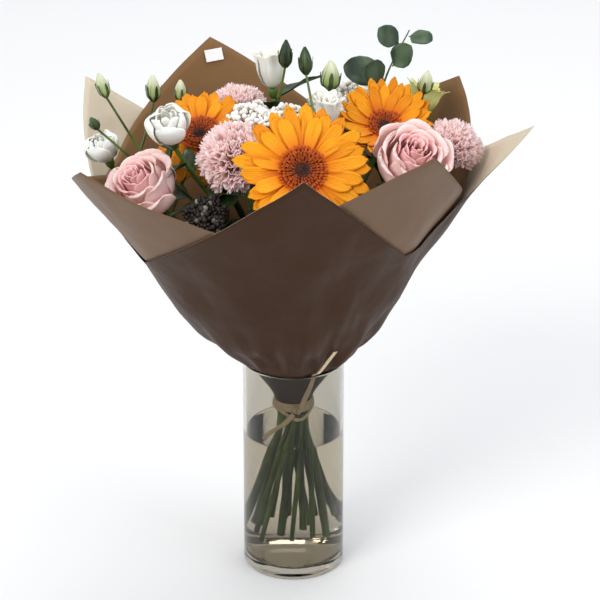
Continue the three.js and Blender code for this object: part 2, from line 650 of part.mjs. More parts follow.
function riceFlowerGeometry(item) {
  const stem = stemNamed(item.name);
  const spread = item.radius;
  const head = turned([
    [0, -spread * 0.9], [spread * 0.45, -spread * 0.35], [spread * 0.92, 0], [spread, spread * 0.22],
    [spread * 0.6, spread * 0.42], [0, spread * 0.5],
  ], 12);
  head.applyQuaternion(new THREE.Quaternion().setFromUnitVectors(UP, stem.facing));
  head.translate(stem.end.x, stem.end.y, stem.end.z);
  return geometryOf(joined([stemTube(stem), head]));
}

// ---------------------------------------------------------------- assembly

addNode('vase', vaseGeometry(), paint(COLOURS.glass, 0.05));
addNode('water', waterGeometry(), paint(COLOURS.water, 0.05));
addNode('wrap_outer_sheet', sheetGeometry(OUTER_CORNERS, 0, 0), paint(COLOURS.paperOut, 0.75));
addNode('wrap_inner_sheet', sheetGeometry(INNER_CORNERS, PAPER_THICKNESS + GAP, SHEET_SPREAD), paint(COLOURS.paperIn, 0.75));
labelMesh();
addNode('raffia_tie', tieGeometry(), paint(COLOURS.raffia, 0.8));
addNode('raffia_tail_up', tube(tailCurve(TAIL_UP), TAIL_RADIUS, 22, 8), paint(COLOURS.raffia, 0.8));
addNode('raffia_tail_down', tube(tailCurve(TAIL_DOWN), TAIL_RADIUS, 12, 8), paint(COLOURS.raffia, 0.8));

function stemNode(name, calyxRadius, calyxLength) {
  const stem = stemNamed(name);
  const parts = [stemTube(stem), ...shootsOn(name).map(shoot)];
  if (calyxRadius) {
    parts.push(calyx(stem, calyxRadius, calyxLength));
  }
  addNode(`${name}_stem`, geometryOf(joined(parts)), paint(COLOURS.stem, 0.55));
}

GERBERAS.forEach((item) => {
  const group = bloomGroup(item);
  addNode(`${item.name}_petals`, gerberaPetals(item), paint(COLOURS.gerbera, 0.55), group);
  addNode(`${item.name}_disc`, gerberaDisc(item), paint(COLOURS.gerberaDisc, 0.8), group);
  stemNode(item.name);
});
ROSES.forEach((item) => {
  const group = bloomGroup(item);
  addNode(`${item.name}_outer_petals`, roseOuter(item), paint(COLOURS.roseOuter, 0.6), group);
  addNode(`${item.name}_heart`, roseHeart(item), paint(COLOURS.rose, 0.6), group);
  stemNode(item.name, 7, 12);
});
CARNATIONS.forEach((item) => {
  addNode(`${item.name}_bloom`, carnationBloom(item), paint(COLOURS.carnation, 0.7), bloomGroup(item));
  stemNode(item.name, 6, 20);
});
LISIANTHUS.forEach((item) => {
  const colour = item.name.includes('green') ? COLOURS.yellowGreen : COLOURS.lisianthus;
  addNode(`${item.name}_bloom`, lisianthusBloom(item), paint(colour, 0.6), bloomGroup(item));
  stemNode(item.name, 4.5, 9);
});
BUDS.forEach(budMesh);
RICE_FLOWERS.forEach((item) => addNode(item.name, riceFlowerGeometry(item), paint(COLOURS.rice, 0.85)));

stemNode(SIDE_STEM.name);
stemNode(EUCALYPTUS.name);
EUCALYPTUS_LEAVES.forEach((leaf) => {
  const stem = stemNamed(EUCALYPTUS.name);
  const top = stem.end.z - FLOWER_DATUM;
  leafMesh(leaf, stem, top - (1 - leaf.along) * EUCALYPTUS_LEAFY, COLOURS.eucalyptus);
});
LEAVES.forEach((leaf) => {
  leafMesh(leaf, stemNamed(leaf.on), leaf.height, COLOURS.green);
});

export default bouquet;
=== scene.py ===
"""A florist's wrapped bouquet of gerberas and other flowers in a glass cylinder vase.

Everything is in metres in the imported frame: +Z up, the front towards -Y, the vase's underside at zero.
"""

import math

import bmesh
import bpy
import numpy as np
from mathutils import Matrix, Vector


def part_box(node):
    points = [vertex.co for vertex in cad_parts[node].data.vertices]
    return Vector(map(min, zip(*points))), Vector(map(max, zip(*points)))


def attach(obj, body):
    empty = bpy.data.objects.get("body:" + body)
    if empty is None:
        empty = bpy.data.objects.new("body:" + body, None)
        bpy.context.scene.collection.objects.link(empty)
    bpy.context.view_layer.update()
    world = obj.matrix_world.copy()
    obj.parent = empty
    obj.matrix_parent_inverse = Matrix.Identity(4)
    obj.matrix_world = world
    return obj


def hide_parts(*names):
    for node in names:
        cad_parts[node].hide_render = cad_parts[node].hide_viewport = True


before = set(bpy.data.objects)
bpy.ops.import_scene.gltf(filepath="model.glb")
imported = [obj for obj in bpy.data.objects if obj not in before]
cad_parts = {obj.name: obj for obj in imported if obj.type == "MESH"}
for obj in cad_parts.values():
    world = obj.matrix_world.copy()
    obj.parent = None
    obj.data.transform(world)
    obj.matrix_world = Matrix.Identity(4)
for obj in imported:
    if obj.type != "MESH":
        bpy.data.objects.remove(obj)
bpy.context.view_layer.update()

MM = 0.001
TAU = 2 * math.pi
UP = np.array([0.0, 0.0, 1.0])


# ------------------------------------------------------------------ camera

CAMERA_PLACE = (0.0059, -2.7170, 1.6136)
CAMERA_PITCH = 26.486
CAMERA_LENS = 207.14


def set_camera():
    camera = bpy.data.cameras.new("camera")
    camera.lens = CAMERA_LENS
    camera.sensor_width = 36
    camera.clip_end = 50
    holder = bpy.data.objects.new("camera", camera)
    holder.location = CAMERA_PLACE
    holder.rotation_euler = (math.radians(90 - CAMERA_PITCH), 0, 0)
    bpy.context.scene.collection.objects.link(holder)
    bpy.context.scene.camera = holder


set_camera()
bpy.context.scene.view_settings.view_transform = "Standard"


# ------------------------------------------------------------------ shader maths

class Value:
    """A shader socket that can be used in arithmetic."""

    def __init__(self, finish, socket):
        self.finish = finish
        self.socket = socket

    def _with(self, operation, other, swapped=False):
        pair = (other, self) if swapped else (self, other)
        return self.finish.node("ShaderNodeMath", {"operation": operation}, {0: pair[0], 1: pair[1]})

    def __add__(self, other):
        return self._with("ADD", other)

    def __sub__(self, other):
        return self._with("SUBTRACT", other)

    def __mul__(self, other):
        return self._with("MULTIPLY", other)

    def __rsub__(self, other):
        return self._with("SUBTRACT", other, swapped=True)

    __radd__ = __add__
    __rmul__ = __mul__

    def sine(self):
        return self.finish.node("ShaderNodeMath", {"operation": "SINE"}, {0: self})

    def between(self, low, high):
        """Nought below low, one above high, smooth between."""
        return self.finish.node("ShaderNodeMapRange", {"interpolation_type": "SMOOTHSTEP"},
                                {"Value": self, "From Min": low, "From Max": high})


class Finish:
    """A material and the few ways its nodes are made."""

    def __init__(self, name):
        self.material = bpy.data.materials.new(name)
        self.material.use_nodes = True
        self.tree = self.material.node_tree
        self.tree.nodes.clear()
        self.output = self.tree.nodes.new("ShaderNodeOutputMaterial")

    def node(self, kind, settings=None, sockets=None, out=0):
        made = self.tree.nodes.new(kind)
        for key, value in (settings or {}).items():
            setattr(made, key, value)
        for key, value in (sockets or {}).items():
            if isinstance(value, Value):
                self.tree.links.new(value.socket, made.inputs[key])
            elif value is not None:
                made.inputs[key].default_value = value
        return Value(self, made.outputs[out])

    def place(self):
        return self.node("ShaderNodeTexCoord", out=3)

    def stretched(self, scale):
        return self.node("ShaderNodeMapping", {}, {"Vector": self.place(), "Scale": scale})

    def noise(self, scale, detail=3.0, where=None, roughness=0.5):
        return self.node("ShaderNodeTexNoise", {}, {
            "Vector": where or self.place(), "Scale": scale, "Detail": detail, "Roughness": roughness})

    def attribute(self, name):
        return self.node("ShaderNodeAttribute", {"attribute_name": name}, out=2)

    def blend(self, share, first, second, mode="MIX"):
        return self.node("ShaderNodeMix", {"data_type": "RGBA", "blend_type": mode},
                         {0: share, 6: first, 7: second}, out=2)

    def bump(self, height, distance, strength=1.0):
        return self.node("ShaderNodeBump", {}, {"Height": height, "Distance": distance, "Strength": strength})

    def surface(self, colour, roughness, **sockets):
        inputs = {"Base Color": colour, "Roughness": roughness}
        inputs.update({key.replace("_", " "): value for key, value in sockets.items()})
        shader = self.node("ShaderNodeBsdfPrincipled", {}, inputs)
        self.tree.links.new(shader.socket, self.output.inputs["Surface"])
        return self.material


def rgb(red, green, blue):
    """A colour given as 0-255 screen values."""
    def linear(value):
        share = value / 255
        return share / 12.92 if share <= 0.04045 else ((share + 0.055) / 1.055) ** 2.4
    return (linear(red), linear(green), linear(blue), 1)


# ------------------------------------------------------------------ mesh helpers

def unit(vectors):
    return vectors / np.maximum(np.linalg.norm(vectors, axis=-1, keepdims=True), 1e-12)


def link(obj):
    bpy.context.scene.collection.objects.link(obj)
    return obj


def mesh_object(node, points, faces, materials, face_slots=None, attributes=None):
    name = node.replace("_", "-")
    mesh = bpy.data.meshes.new(name)
    mesh.from_pydata(np.asarray(points, float).tolist(), [], [list(map(int, f)) for f in faces])
    for material in materials:
        mesh.materials.append(material)
    if face_slots is not None:
        mesh.polygons.foreach_set("material_index", np.asarray(face_slots, np.int32))
    mesh.polygons.foreach_set("use_smooth", np.full(len(mesh.polygons), True))
    for key, values in (attributes or {}).items():
        layer = mesh.attributes.new(key, "FLOAT", "POINT")
        layer.data.foreach_set("value", np.asarray(values, np.float32))
    mesh.update()
    return link(bpy.data.objects.new(name, mesh))


def grid_faces(rows, columns, closed=False):
    """Quads of a grid whose points run row by row; a closed grid joins its last column to its first."""
    wide = columns if closed else columns - 1
    row, column = np.meshgrid(np.arange(rows - 1), np.arange(wide), indexing="ij")
    after = (column + 1) % columns
    return np.stack([row * columns + column, (row + 1) * columns + column,
                     (row + 1) * columns + after, row * columns + after], -1).reshape(-1, 4)


def capped_faces(rows, columns):
    """Faces of a closed tube's grid and the two fans that shut it, round the two points after the grid's."""
    count = rows * columns
    last = count - columns
    quads = grid_faces(rows, columns, closed=True)[:, ::-1].tolist()
    low = [[count, (j + 1) % columns, j] for j in range(columns)]
    high = [[count + 1, last + j, last + (j + 1) % columns] for j in range(columns)]
    return quads + low + high


def rim_of(rows, columns):
    """The points round a grid's edge, in turn."""
    down = [(i, 0) for i in range(rows - 1)]
    along = [(rows - 1, j) for j in range(columns - 1)]
    back = [(i, columns - 1) for i in range(rows - 1, 0, -1)]
    home = [(0, j) for j in range(columns - 1, 0, -1)]
    return np.array([i * columns + j for i, j in down + along + back + home])


def shell_faces(rows, columns):
    """Quads of a thin closed shell: the upper grid, the lower grid and the wall round their edge."""
    upper = grid_faces(rows, columns)
    count = rows * columns
    lower = upper[:, ::-1] + count
    rim = rim_of(rows, columns)
    after = np.roll(rim, -1)
    wall = np.stack([after, rim, rim + count, after + count], -1)
    return np.concatenate([upper, lower, wall])


def normals_of(grid):
    return unit(np.cross(np.gradient(grid, axis=0), np.gradient(grid, axis=1)))


def shares(rows, columns):
    """A petal grid's shares: nought to one along it, minus one to one across it."""
    return np.linspace(0, 1, rows)[:, None], np.linspace(-1, 1, columns)[None]


class Bunch:
    """Thin petals gathered into one mesh. Each point knows its share along and across its petal."""

    def __init__(self):
        self.points, self.faces, self.slots = [], [], []
        self.along, self.across, self.tone = [], [], []
        self.count = 0

    def add(self, grid, thickness, tone=0.5, slot=0):
        rows, columns = grid.shape[:2]
        lift = normals_of(grid) * thickness / 2
        faces = shell_faces(rows, columns)
        self.points.append(np.concatenate([(grid + lift).reshape(-1, 3), (grid - lift).reshape(-1, 3)]))
        self.faces.append(faces + self.count)
        self.slots.append(np.full(len(faces), slot))
        along, across = np.meshgrid(np.linspace(0, 1, rows), np.linspace(-1, 1, columns), indexing="ij")
        self.along.append(np.tile(along.ravel(), 2))
        self.across.append(np.tile(across.ravel(), 2))
        self.tone.append(np.full(2 * rows * columns, tone))
        self.count += 2 * rows * columns

    def build(self, name, seat, materials):
        points = seat.out(np.concatenate(self.points))
        attributes = {"along": np.concatenate(self.along), "across": np.concatenate(self.across),
                      "tone": np.concatenate(self.tone)}
        return mesh_object(name, points, np.concatenate(self.faces), materials,
                           np.concatenate(self.slots), attributes)


def turned(profile, segments):
    """A closed body of revolution about Z from [radius, height] points that start and end on the axis."""
    profile = np.array(profile, float)
    angles = np.arange(segments) * TAU / segments
    inner = profile[1:-1]
    rings = np.stack([inner[:, None, 0] * np.cos(angles), inner[:, None, 0] * np.sin(angles),
                      np.repeat(inner[:, None, 1], segments, 1)], -1)
    points = np.concatenate([rings.reshape(-1, 3), [[0, 0, profile[0, 1]], [0, 0, profile[-1, 1]]]])
    return points, capped_faces(len(inner), segments)


# ------------------------------------------------------------------ the frame's own shapes

def node_points(name):
    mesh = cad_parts[name].data
    points = np.zeros(len(mesh.vertices) * 3, np.float32)
    mesh.vertices.foreach_get("co", points)
    return np.unique(np.round(points.reshape(-1, 3).astype(float), 6), axis=0)


class Seat:
    """A flower's own place: origin at its base, Z the way it faces, with its height and radius."""

    def __init__(self, origin, facing, height=0.0, radius=0.0):
        self.origin = np.array(origin, float)
        self.z = np.array(facing, float) / np.linalg.norm(facing)
        side = np.cross(UP, self.z)
        if np.linalg.norm(side) < 1e-6:
            side = np.array([1.0, 0, 0])
        self.x = side / np.linalg.norm(side)
        self.y = np.cross(self.z, self.x)
        self.height = height
        self.radius = radius

    def out(self, points):
        return self.origin + np.asarray(points) @ np.stack([self.x, self.y, self.z])


WORLD = Seat((0, 0, 0), (0, 0, 1))


def farthest(points, centre, axis):
    """The greatest distance of the points from the line through the centre along the axis."""
    return float(np.linalg.norm(np.cross(points - centre, axis), axis=1).max())


def bloom_seat(bloom, facing, whole=None):
    """A round flower's seat, read from its node. Its middle line runs along facing, from its lowest end."""
    axis = unit(np.array(facing, float))
    points = node_points(bloom)
    centre = points.mean(0)
    below = points if whole is None else np.concatenate([points, node_points(whole)])
    heights = (below - centre) @ axis
    return Seat(centre + heights.min() * axis, axis, float(np.ptp(heights)), farthest(points, centre, axis))


def smooth_path(points, spacing):
    """A Catmull-Rom curve through the points, resampled evenly."""
    points = np.array(points, float)
    padded = np.concatenate([[2 * points[0] - points[1]], points, [2 * points[-1] - points[-2]]])
    share = np.linspace(0, 1, 12, endpoint=False)[:, None]
    dense = [
        0.5 * (2 * b + (c - a) * share + (2 * a - 5 * b + 4 * c - d) * share ** 2
               + (3 * b - a - 3 * c + d) * share ** 3)
        for a, b, c, d in zip(padded, padded[1:], padded[2:], padded[3:])
    ]
    dense = np.concatenate(dense + [points[-1:]])
    reached = np.concatenate([[0], np.cumsum(np.linalg.norm(np.diff(dense, axis=0), axis=1))])
    count = max(int(reached[-1] / spacing), 4)
    even = np.linspace(0, reached[-1], count + 1)
    return np.stack([np.interp(even, reached, dense[:, i]) for i in range(3)], 1)


def tube(name, centres, radii, sides, material):
    """A closed round tube along points, its two ends shut by fans."""
    centres = np.array(centres, float)
    tangents = unit(np.gradient(centres, axis=0))
    side = unit(np.cross(tangents[0], [0.3, 0.9, 0.1]))
    sides_of = []
    for tangent in tangents:
        side = unit(side - tangent * (side @ tangent))
        sides_of.append(side)
    across = np.array(sides_of)
    other = np.cross(tangents, across)
    angle = np.arange(sides) * TAU / sides
    rings = (centres[:, None] + np.reshape(radii, (-1, 1, 1)) * (
        across[:, None] * np.cos(angle)[None, :, None] + other[:, None] * np.sin(angle)[None, :, None]))
    points = np.concatenate([rings.reshape(-1, 3), centres[:1], centres[-1:]])
    along = np.concatenate([np.repeat(np.linspace(0, 1, len(centres)), sides), [0, 1]])
    faces = capped_faces(len(centres), sides)
    return mesh_object(name, points, faces, [material], attributes={"along": along})


def strip_grid(centres, outward, width, cup=0.0, closed=False):
    """A flat strip's grid along centres; outward says which way its broad face looks."""
    centres = np.array(centres, float)
    if closed:
        tangents = unit(np.roll(centres, -1, 0) - np.roll(centres, 1, 0))
    else:
        tangents = unit(np.gradient(centres, axis=0))
    across = unit(np.cross(tangents, outward))
    normal = np.cross(across, tangents)
    share = np.linspace(-1, 1, 7)
    half = np.broadcast_to(np.asarray(width) / 2, len(centres))[:, None, None]
    return (centres[:, None] + across[:, None] * share[None, :, None] * half
            - normal[:, None] * (cup * share ** 2)[None, :, None])


def finish_piece(piece, slot, *nodes):
    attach(piece, "root")
    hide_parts(*nodes)


# ------------------------------------------------------------------ finishes

def raffia_finish():
    finish = Finish("raffia")
    streaks = finish.noise(60, 4, finish.stretched((6, 6, 0.5)), 0.7)
    colour = finish.blend(streaks, rgb(172, 142, 100), rgb(236, 218, 182))
    return finish.surface(colour, 0.7, Normal=finish.bump(streaks, 0.0006, 0.7))


def glass_finish():
    finish = Finish("clear glass")
    return finish.surface(rgb(213, 210, 201), 0.0, Transmission_Weight=1.0, IOR=1.5,
                          Specular_Tint=rgb(170, 170, 170))


def water_finish():
    finish = Finish("water")
    return finish.surface(rgb(247, 241, 231), 0.0, Transmission_Weight=1.0, IOR=1.22,
                          Specular_Tint=rgb(170, 170, 170))


def paper_finish(name, outside, inside):
    finish = Finish(name)
    within = finish.attribute("inside")
    fibres = finish.noise(420, 5, roughness=0.65)
    cloud = finish.noise(9, 3)
    colour = finish.blend(within, outside, inside)
    colour = finish.blend(cloud.between(0.3, 0.8) * 0.25, colour, rgb(214, 196, 170), "SOFT_LIGHT")
    relief = finish.noise(15, 2, roughness=0.3) + finish.noise(40, 2, roughness=0.3) * 0.25 + fibres * 0.008
    return finish.surface(colour, fibres * 0.12 + 0.42, Normal=finish.bump(relief, 0.012, 0.5),
                          Specular_IOR_Level=0.22, Specular_Tint=rgb(255, 222, 192))


def petal_finish(name, base, middle, tip, ribs=0.0, start=0.15, end=0.75, variation=0.25, glow=0.12):
    """Colour from a petal's root to its tip, with fine ribs along it and some difference between petals."""
    finish = Finish(name)
    along = finish.attribute("along")
    across = finish.attribute("across")
    tone = finish.attribute("tone")
    colour = finish.blend(along.between(0.0, start), base, middle)
    colour = finish.blend(along.between(start, end), colour, tip)
    mottle = finish.noise(130, 3)
    colour = finish.blend((1 - tone) * variation + mottle * 0.1, colour, base)
    veins = (across * ribs).sine() * 0.5 + finish.noise(240, 2) * 0.4
    return finish.surface(colour, 0.66, Normal=finish.bump(veins, 0.0005, 0.6), Specular_IOR_Level=0.3,
                          Subsurface_Weight=glow, Subsurface_Radius=(0.004, 0.003, 0.002),
                          Subsurface_Scale=1.0)


def grain_finish(name, dark, light, start):
    """Small round buds, of which those with a tone above the start are light."""
    finish = Finish(name)
    tone = finish.attribute("tone")
    colour = finish.blend(tone.between(start, start + 0.3), dark, light)
    return finish.surface(colour, 0.6, Normal=finish.bump(finish.noise(500, 2), 0.0006, 0.6))


def green_finish(name, dark, light, roughness=0.45, scale=60):
    finish = Finish(name)
    streaks = finish.noise(scale, 4, finish.stretched((1, 1, 0.25)))
    colour = finish.blend(streaks.between(0.3, 0.7), dark, light)
    return finish.surface(colour, roughness, Normal=finish.bump(streaks, 0.0005, 0.4))


RAFFIA = raffia_finish()
GLASS = glass_finish()
WATER = water_finish()
OUTER_PAPER = paper_finish("mocha paper", rgb(52, 33, 22), rgb(208, 196, 174))
INNER_PAPER = paper_finish("taupe paper", rgb(106, 86, 70), rgb(121, 92, 61))
STEM_GREEN = green_finish("stem green", rgb(46, 70, 20), rgb(100, 128, 48))
LEAF_GREEN = green_finish("leaf green", rgb(26, 44, 20), rgb(66, 92, 44), 0.4, 90)
EUCALYPTUS_GREEN = green_finish("eucalyptus green", rgb(22, 42, 26), rgb(74, 98, 66), 0.5, 70)
GERBERA_DARK = green_finish("gerbera heart", rgb(38, 14, 8), rgb(88, 34, 14), 0.7, 300)
RICE_STALK = green_finish("rice flower stalks", rgb(44, 38, 26), rgb(92, 88, 54), 0.7, 200)
GERBERA_PETAL = petal_finish("gerbera petal", rgb(200, 80, 0), rgb(236, 120, 0), rgb(254, 170, 14),
                             ribs=22, variation=0.5, glow=0.05)
GERBERA_EYE = petal_finish("gerbera eye", rgb(52, 14, 6), rgb(120, 36, 10), rgb(196, 84, 18), variation=0.6)
ROSE_OUTER = petal_finish("rose outer petal", rgb(244, 206, 184), rgb(250, 178, 182), rgb(255, 220, 214),
                          end=0.98, variation=0.15, glow=0.3)
ROSE_HEART = petal_finish("rose heart petal", rgb(240, 140, 146), rgb(246, 156, 164), rgb(254, 208, 206),
                          end=0.98, glow=0.3)
CARNATION = petal_finish("carnation petal", rgb(246, 172, 176), rgb(250, 186, 188), rgb(254, 222, 218),
                         glow=0.4)
LISIANTHUS = petal_finish("white petal", rgb(200, 206, 160), rgb(236, 234, 216), rgb(248, 247, 238),
                          variation=0.1, glow=0.35)
GREEN_PETAL = petal_finish("green petal", rgb(120, 142, 40), rgb(176, 186, 84), rgb(214, 214, 140),
                           variation=0.3)
BUD = petal_finish("flower bud", rgb(96, 122, 56), rgb(158, 174, 112), rgb(226, 228, 196),
                   start=0.3, end=0.95, variation=0.1)
RICE = grain_finish("rice flower grain", rgb(168, 158, 140), rgb(246, 244, 238), 0.1)
RICE_SHADED = grain_finish("shaded rice flower grain", rgb(30, 24, 19), rgb(190, 184, 172), 0.82)


# ------------------------------------------------------------------ the two raffia ends, which lie free

TIE_HEIGHT = 0.161

# Routes in millimetres from the tie's centre, as the frame's own tubes run.
TAIL_UP = [
    (7.4, -23.2, 2.6), (8.2, -25.6, 9), (10.7, -28.1, 17), (13.4, -30.5, 25), (15.7, -32.8, 33),
    (17.7, -34.7, 40.5), (18.6, -36.5, 44), (20.2, -38.8, 45.5), (22.1, -41.4, 47.4),
    (25.2, -45.2, 53.2), (28.9, -49.8, 61.2), (32.9, -54.5, 69.5), (37, -59, 77.8),
]
TAIL_DOWN = [
    (0.4, -22.5, -3), (-3.6, -24.6, -6.6), (-8, -26.6, -10.5), (-12.6, -27.9, -13), (-17, -28.4, -15.6),
    (-20.8, -28.4, -18.6), (-23.8, -28, -22), (-25.8, -27.6, -25.6),
]
TAIL_WIDTH = 4.9 * MM


def raffia_tail(name, route):
    points = smooth_path(np.array(route) * MM + [0, 0, TIE_HEIGHT], 1.5 * MM)
    outward = unit(points * [1, 1, 0]) - 0.35 * UP
    share = np.linspace(0, 1, len(points))
    width = TAIL_WIDTH * (1 - 0.25 * share + 0.08 * np.sin(9 * share))
    bunch = Bunch()
    bunch.add(strip_grid(points, outward, width, cup=0.35 * MM), 0.45 * MM)
    return bunch.build(name, WORLD, [RAFFIA]), points


for tail_name, tail_route in (("raffia_tail_up", TAIL_UP), ("raffia_tail_down", TAIL_DOWN)):
    tail, tail_points = raffia_tail(tail_name, tail_route)
    finish_piece(tail, "raffia", tail_name)


# ------------------------------------------------------------------ vase and water

VASE_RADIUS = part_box("vase")[1][0]
VASE_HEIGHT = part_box("vase")[1][2]
VASE_SIDES = 144
GLASS_WALL = 2.8 * MM
BORE = VASE_RADIUS - GLASS_WALL
FLOOR = 9.5 * MM
WATER_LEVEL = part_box("water")[1][2]


def supported(profile, margin=0.7 * MM):
    """The profile with a point close to each end of every long stretch, so that flat walls shade flat."""
    points = [np.array(point, float) for point in profile]
    made = points[:1]
    for before, after in zip(points, points[1:]):
        length = np.linalg.norm(after - before)
        if length > 4 * margin:
            step = (after - before) * margin / length
            made += [before + step, after - step]
        made.append(after)
    return np.array(made)


vase_points, vase_faces = turned(supported([
    (0, 0.5 * MM), (28 * MM, 0.5 * MM), (35 * MM, 0.1 * MM), (38 * MM, 0), (42 * MM, 0.1 * MM),
    (VASE_RADIUS - 1.2 * MM, 0.6 * MM), (VASE_RADIUS - 0.3 * MM, 1.5 * MM), (VASE_RADIUS, 3 * MM),
    (VASE_RADIUS, VASE_HEIGHT - 1.2 * MM),
    (VASE_RADIUS - 0.4 * MM, VASE_HEIGHT - 0.35 * MM), (VASE_RADIUS - 1.1 * MM, VASE_HEIGHT),
    (BORE + 1.1 * MM, VASE_HEIGHT), (BORE + 0.35 * MM, VASE_HEIGHT - 0.4 * MM),
    (BORE, VASE_HEIGHT - 1.3 * MM),
    (BORE, FLOOR + 5 * MM), (BORE - 0.8 * MM, FLOOR + 2.2 * MM),
    (BORE - 3 * MM, FLOOR + 0.5 * MM), (BORE - 6 * MM, FLOOR), (0, FLOOR),
]), VASE_SIDES)
vase = mesh_object("vase", vase_points, vase_faces, [GLASS])
finish_piece(vase, "clear_glass", "vase")

# The water reaches this far into the glass, so that no air shows between them.
OVERLAP = 0.15 * MM
water_points, water_faces = turned(supported([
    (0, FLOOR - OVERLAP), (BORE - 6 * MM, FLOOR - OVERLAP), (BORE - 2.9 * MM, FLOOR + 0.35 * MM),
    (BORE - 0.65 * MM, FLOOR + 2.1 * MM), (BORE + OVERLAP, FLOOR + 5 * MM),
    (BORE + OVERLAP, WATER_LEVEL + 1.1 * MM), (BORE - 0.7 * MM, WATER_LEVEL + 0.35 * MM),
    (BORE - 2.2 * MM, WATER_LEVEL), (0, WATER_LEVEL),
]), VASE_SIDES)
water = mesh_object("water", water_points, water_faces, [WATER])
finish_piece(water, "water", "water")


# ------------------------------------------------------------------ paper wrap

PAPER_THICKNESS = 0.35 * MM
AZIMUTHS = 300
ROWS_PER_BAND = (4, 6, 2, 2, 9, 9, 9, 7, 7)
# The side of each square sheet laid flat, from how far its corners lie from the neck.
OUTER_CUT = 0.455
INNER_CUT = 0.47


def sheet_columns(node):
    """A sheet's middle line in each of its columns: azimuths, and [radius, height] from neck to rim."""
    points = node_points(node)
    azimuth = np.round(np.degrees(np.arctan2(points[:, 0], -points[:, 1])) % 360, 1) % 360
    columns = {}
    for angle in np.unique(azimuth):
        own = points[azimuth == angle]
        line = np.stack([np.hypot(own[:, 0], own[:, 1]), own[:, 2]], 1)
        line = line[np.lexsort((line[:, 0], np.round(line[:, 1], 5)))]
        columns[float(angle)] = line.reshape(-1, 2, 2).mean(1)
    angles = np.array(sorted(columns))
    return angles, np.array([columns[angle] for angle in angles])


def creases(turn, along, seed, around, upward):
    """Folds of crumpled paper, from the angle round the wrap and the distance from the neck, in metres."""
    chance = np.random.default_rng(seed)
    height = np.zeros_like(along)
    for _ in range(10):
        sideways, deep = chance.uniform(-around, around, 2)
        up, phase = chance.uniform(-upward, upward), chance.uniform(0, 1)
        wave = np.sin(turn) * sideways + np.cos(turn) * deep + along * up + phase
        height += np.abs(wave % 1 - 0.5) - 0.25
    return height / 3


def paper_sheet(name, material):
    angles, lines = sheet_columns(name)
    last = lines.shape[1] - 1
    bands = [np.linspace(i, i + 1, rows, endpoint=False) for i, rows in enumerate(ROWS_PER_BAND[:last])]
    rows = np.concatenate(bands + [[last]])
    index = np.arange(lines.shape[1])
    fine = np.stack([[np.interp(rows, index, line[:, i]) for i in (0, 1)] for line in lines])
    azimuths = np.sort(np.concatenate([np.arange(AZIMUTHS) * 360 / AZIMUTHS, angles]))
    azimuths = azimuths[np.concatenate([[True], np.diff(azimuths) > 0.25])]
    around = np.concatenate([angles - 360, angles, angles + 360])
    wrapped = np.concatenate([fine, fine, fine])
    grid = np.stack([[np.interp(azimuths, around, wrapped[:, i, row]) for i in (0, 1)]
                     for row in range(len(rows))])
    radius, height = grid[:, 0], grid[:, 1]
    for _ in range(3):
        for field in (radius, height):
            field[1:-1] = 0.5 * field[1:-1] + 0.25 * (field[2:] + field[:-2])
    turn = np.radians(azimuths)
    points = np.stack([radius * np.sin(turn), -radius * np.cos(turn), height], -1)
    distance = np.cumsum(np.hypot(np.gradient(radius, axis=0), np.gradient(height, axis=0)), axis=0)
    rising = np.clip((height - VASE_HEIGHT - 2 * MM) / (14 * MM), 0, 1)
    calming = np.exp(-np.clip(distance - 70 * MM, 0, None) / (85 * MM))
    near_neck = np.exp(-np.clip(distance - 62 * MM, 0, None) / (34 * MM))
    depth = (7 * MM * calming + 4.5 * MM) * creases(turn[None], distance, 12, 2.2, 11)
    depth = rising * (depth + 15 * MM * near_neck * creases(turn[None], distance, 5, 4.5, 22))
    normal = unit(np.cross(np.roll(points, -1, 1) - np.roll(points, 1, 1), np.gradient(points, axis=0)))
    normal *= np.sign((normal * points * [1, 1, 0]).sum(-1, keepdims=True).mean())
    points = points + normal * depth[..., None]
    count = points.shape[0] * points.shape[1]
    skin = np.concatenate([(points + normal * PAPER_THICKNESS / 2).reshape(-1, 3),
                           (points - normal * PAPER_THICKNESS / 2).reshape(-1, 3)])
    wide = points.shape[1]
    outer = grid_faces(points.shape[0], wide, closed=True)
    column = np.arange(wide)
    after = (column + 1) % wide
    top = (points.shape[0] - 1) * wide
    low_edge = np.stack([column, after, after + count, column + count], -1)
    high_edge = np.stack([top + after, top + column, top + column + count, top + after + count], -1)
    faces = np.concatenate([outer[:, ::-1], outer + count, low_edge[:, ::-1], high_edge[:, ::-1]])
    return mesh_object(name, skin, faces, [material], attributes={"inside": np.repeat([0.0, 1.0], count)})


def shut_outwards(piece):
    """Turns every face of a closed mesh outwards."""
    mesh = bmesh.new()
    mesh.from_mesh(piece.data)
    bmesh.ops.recalc_face_normals(mesh, faces=mesh.faces)
    if mesh.calc_volume(signed=True) < 0:
        bmesh.ops.reverse_faces(mesh, faces=mesh.faces)
    mesh.to_mesh(piece.data)
    mesh.free()


outer_sheet = paper_sheet("wrap_outer_sheet", OUTER_PAPER)
inner_sheet = paper_sheet("wrap_inner_sheet", INNER_PAPER)
for sheet, sheet_side, cut in ((outer_sheet, "outer", OUTER_CUT), (inner_sheet, "inner", INNER_CUT)):
    shut_outwards(sheet)
    finish_piece(sheet, f"wrap_paper_{sheet_side}", f"wrap_{sheet_side}_sheet")


# ------------------------------------------------------------------ tie

BAND_RADIUS = 17.2 * MM


def loop_points(radius, tilt, turn, height, sag=0.0):
    """A closed loop round the neck, tilted by some millimetres and sagging at one azimuth."""
    azimuth = np.arange(72) * TAU / 72
    lean = np.cos(azimuth - turn)
    droop = sag * np.exp(-((azimuth - turn + np.pi) % TAU - np.pi) ** 2 / 0.35)
    out = radius + droop * 0.35
    return np.stack([out * np.sin(azimuth), -out * np.cos(azimuth), height + tilt * lean - droop], 1)


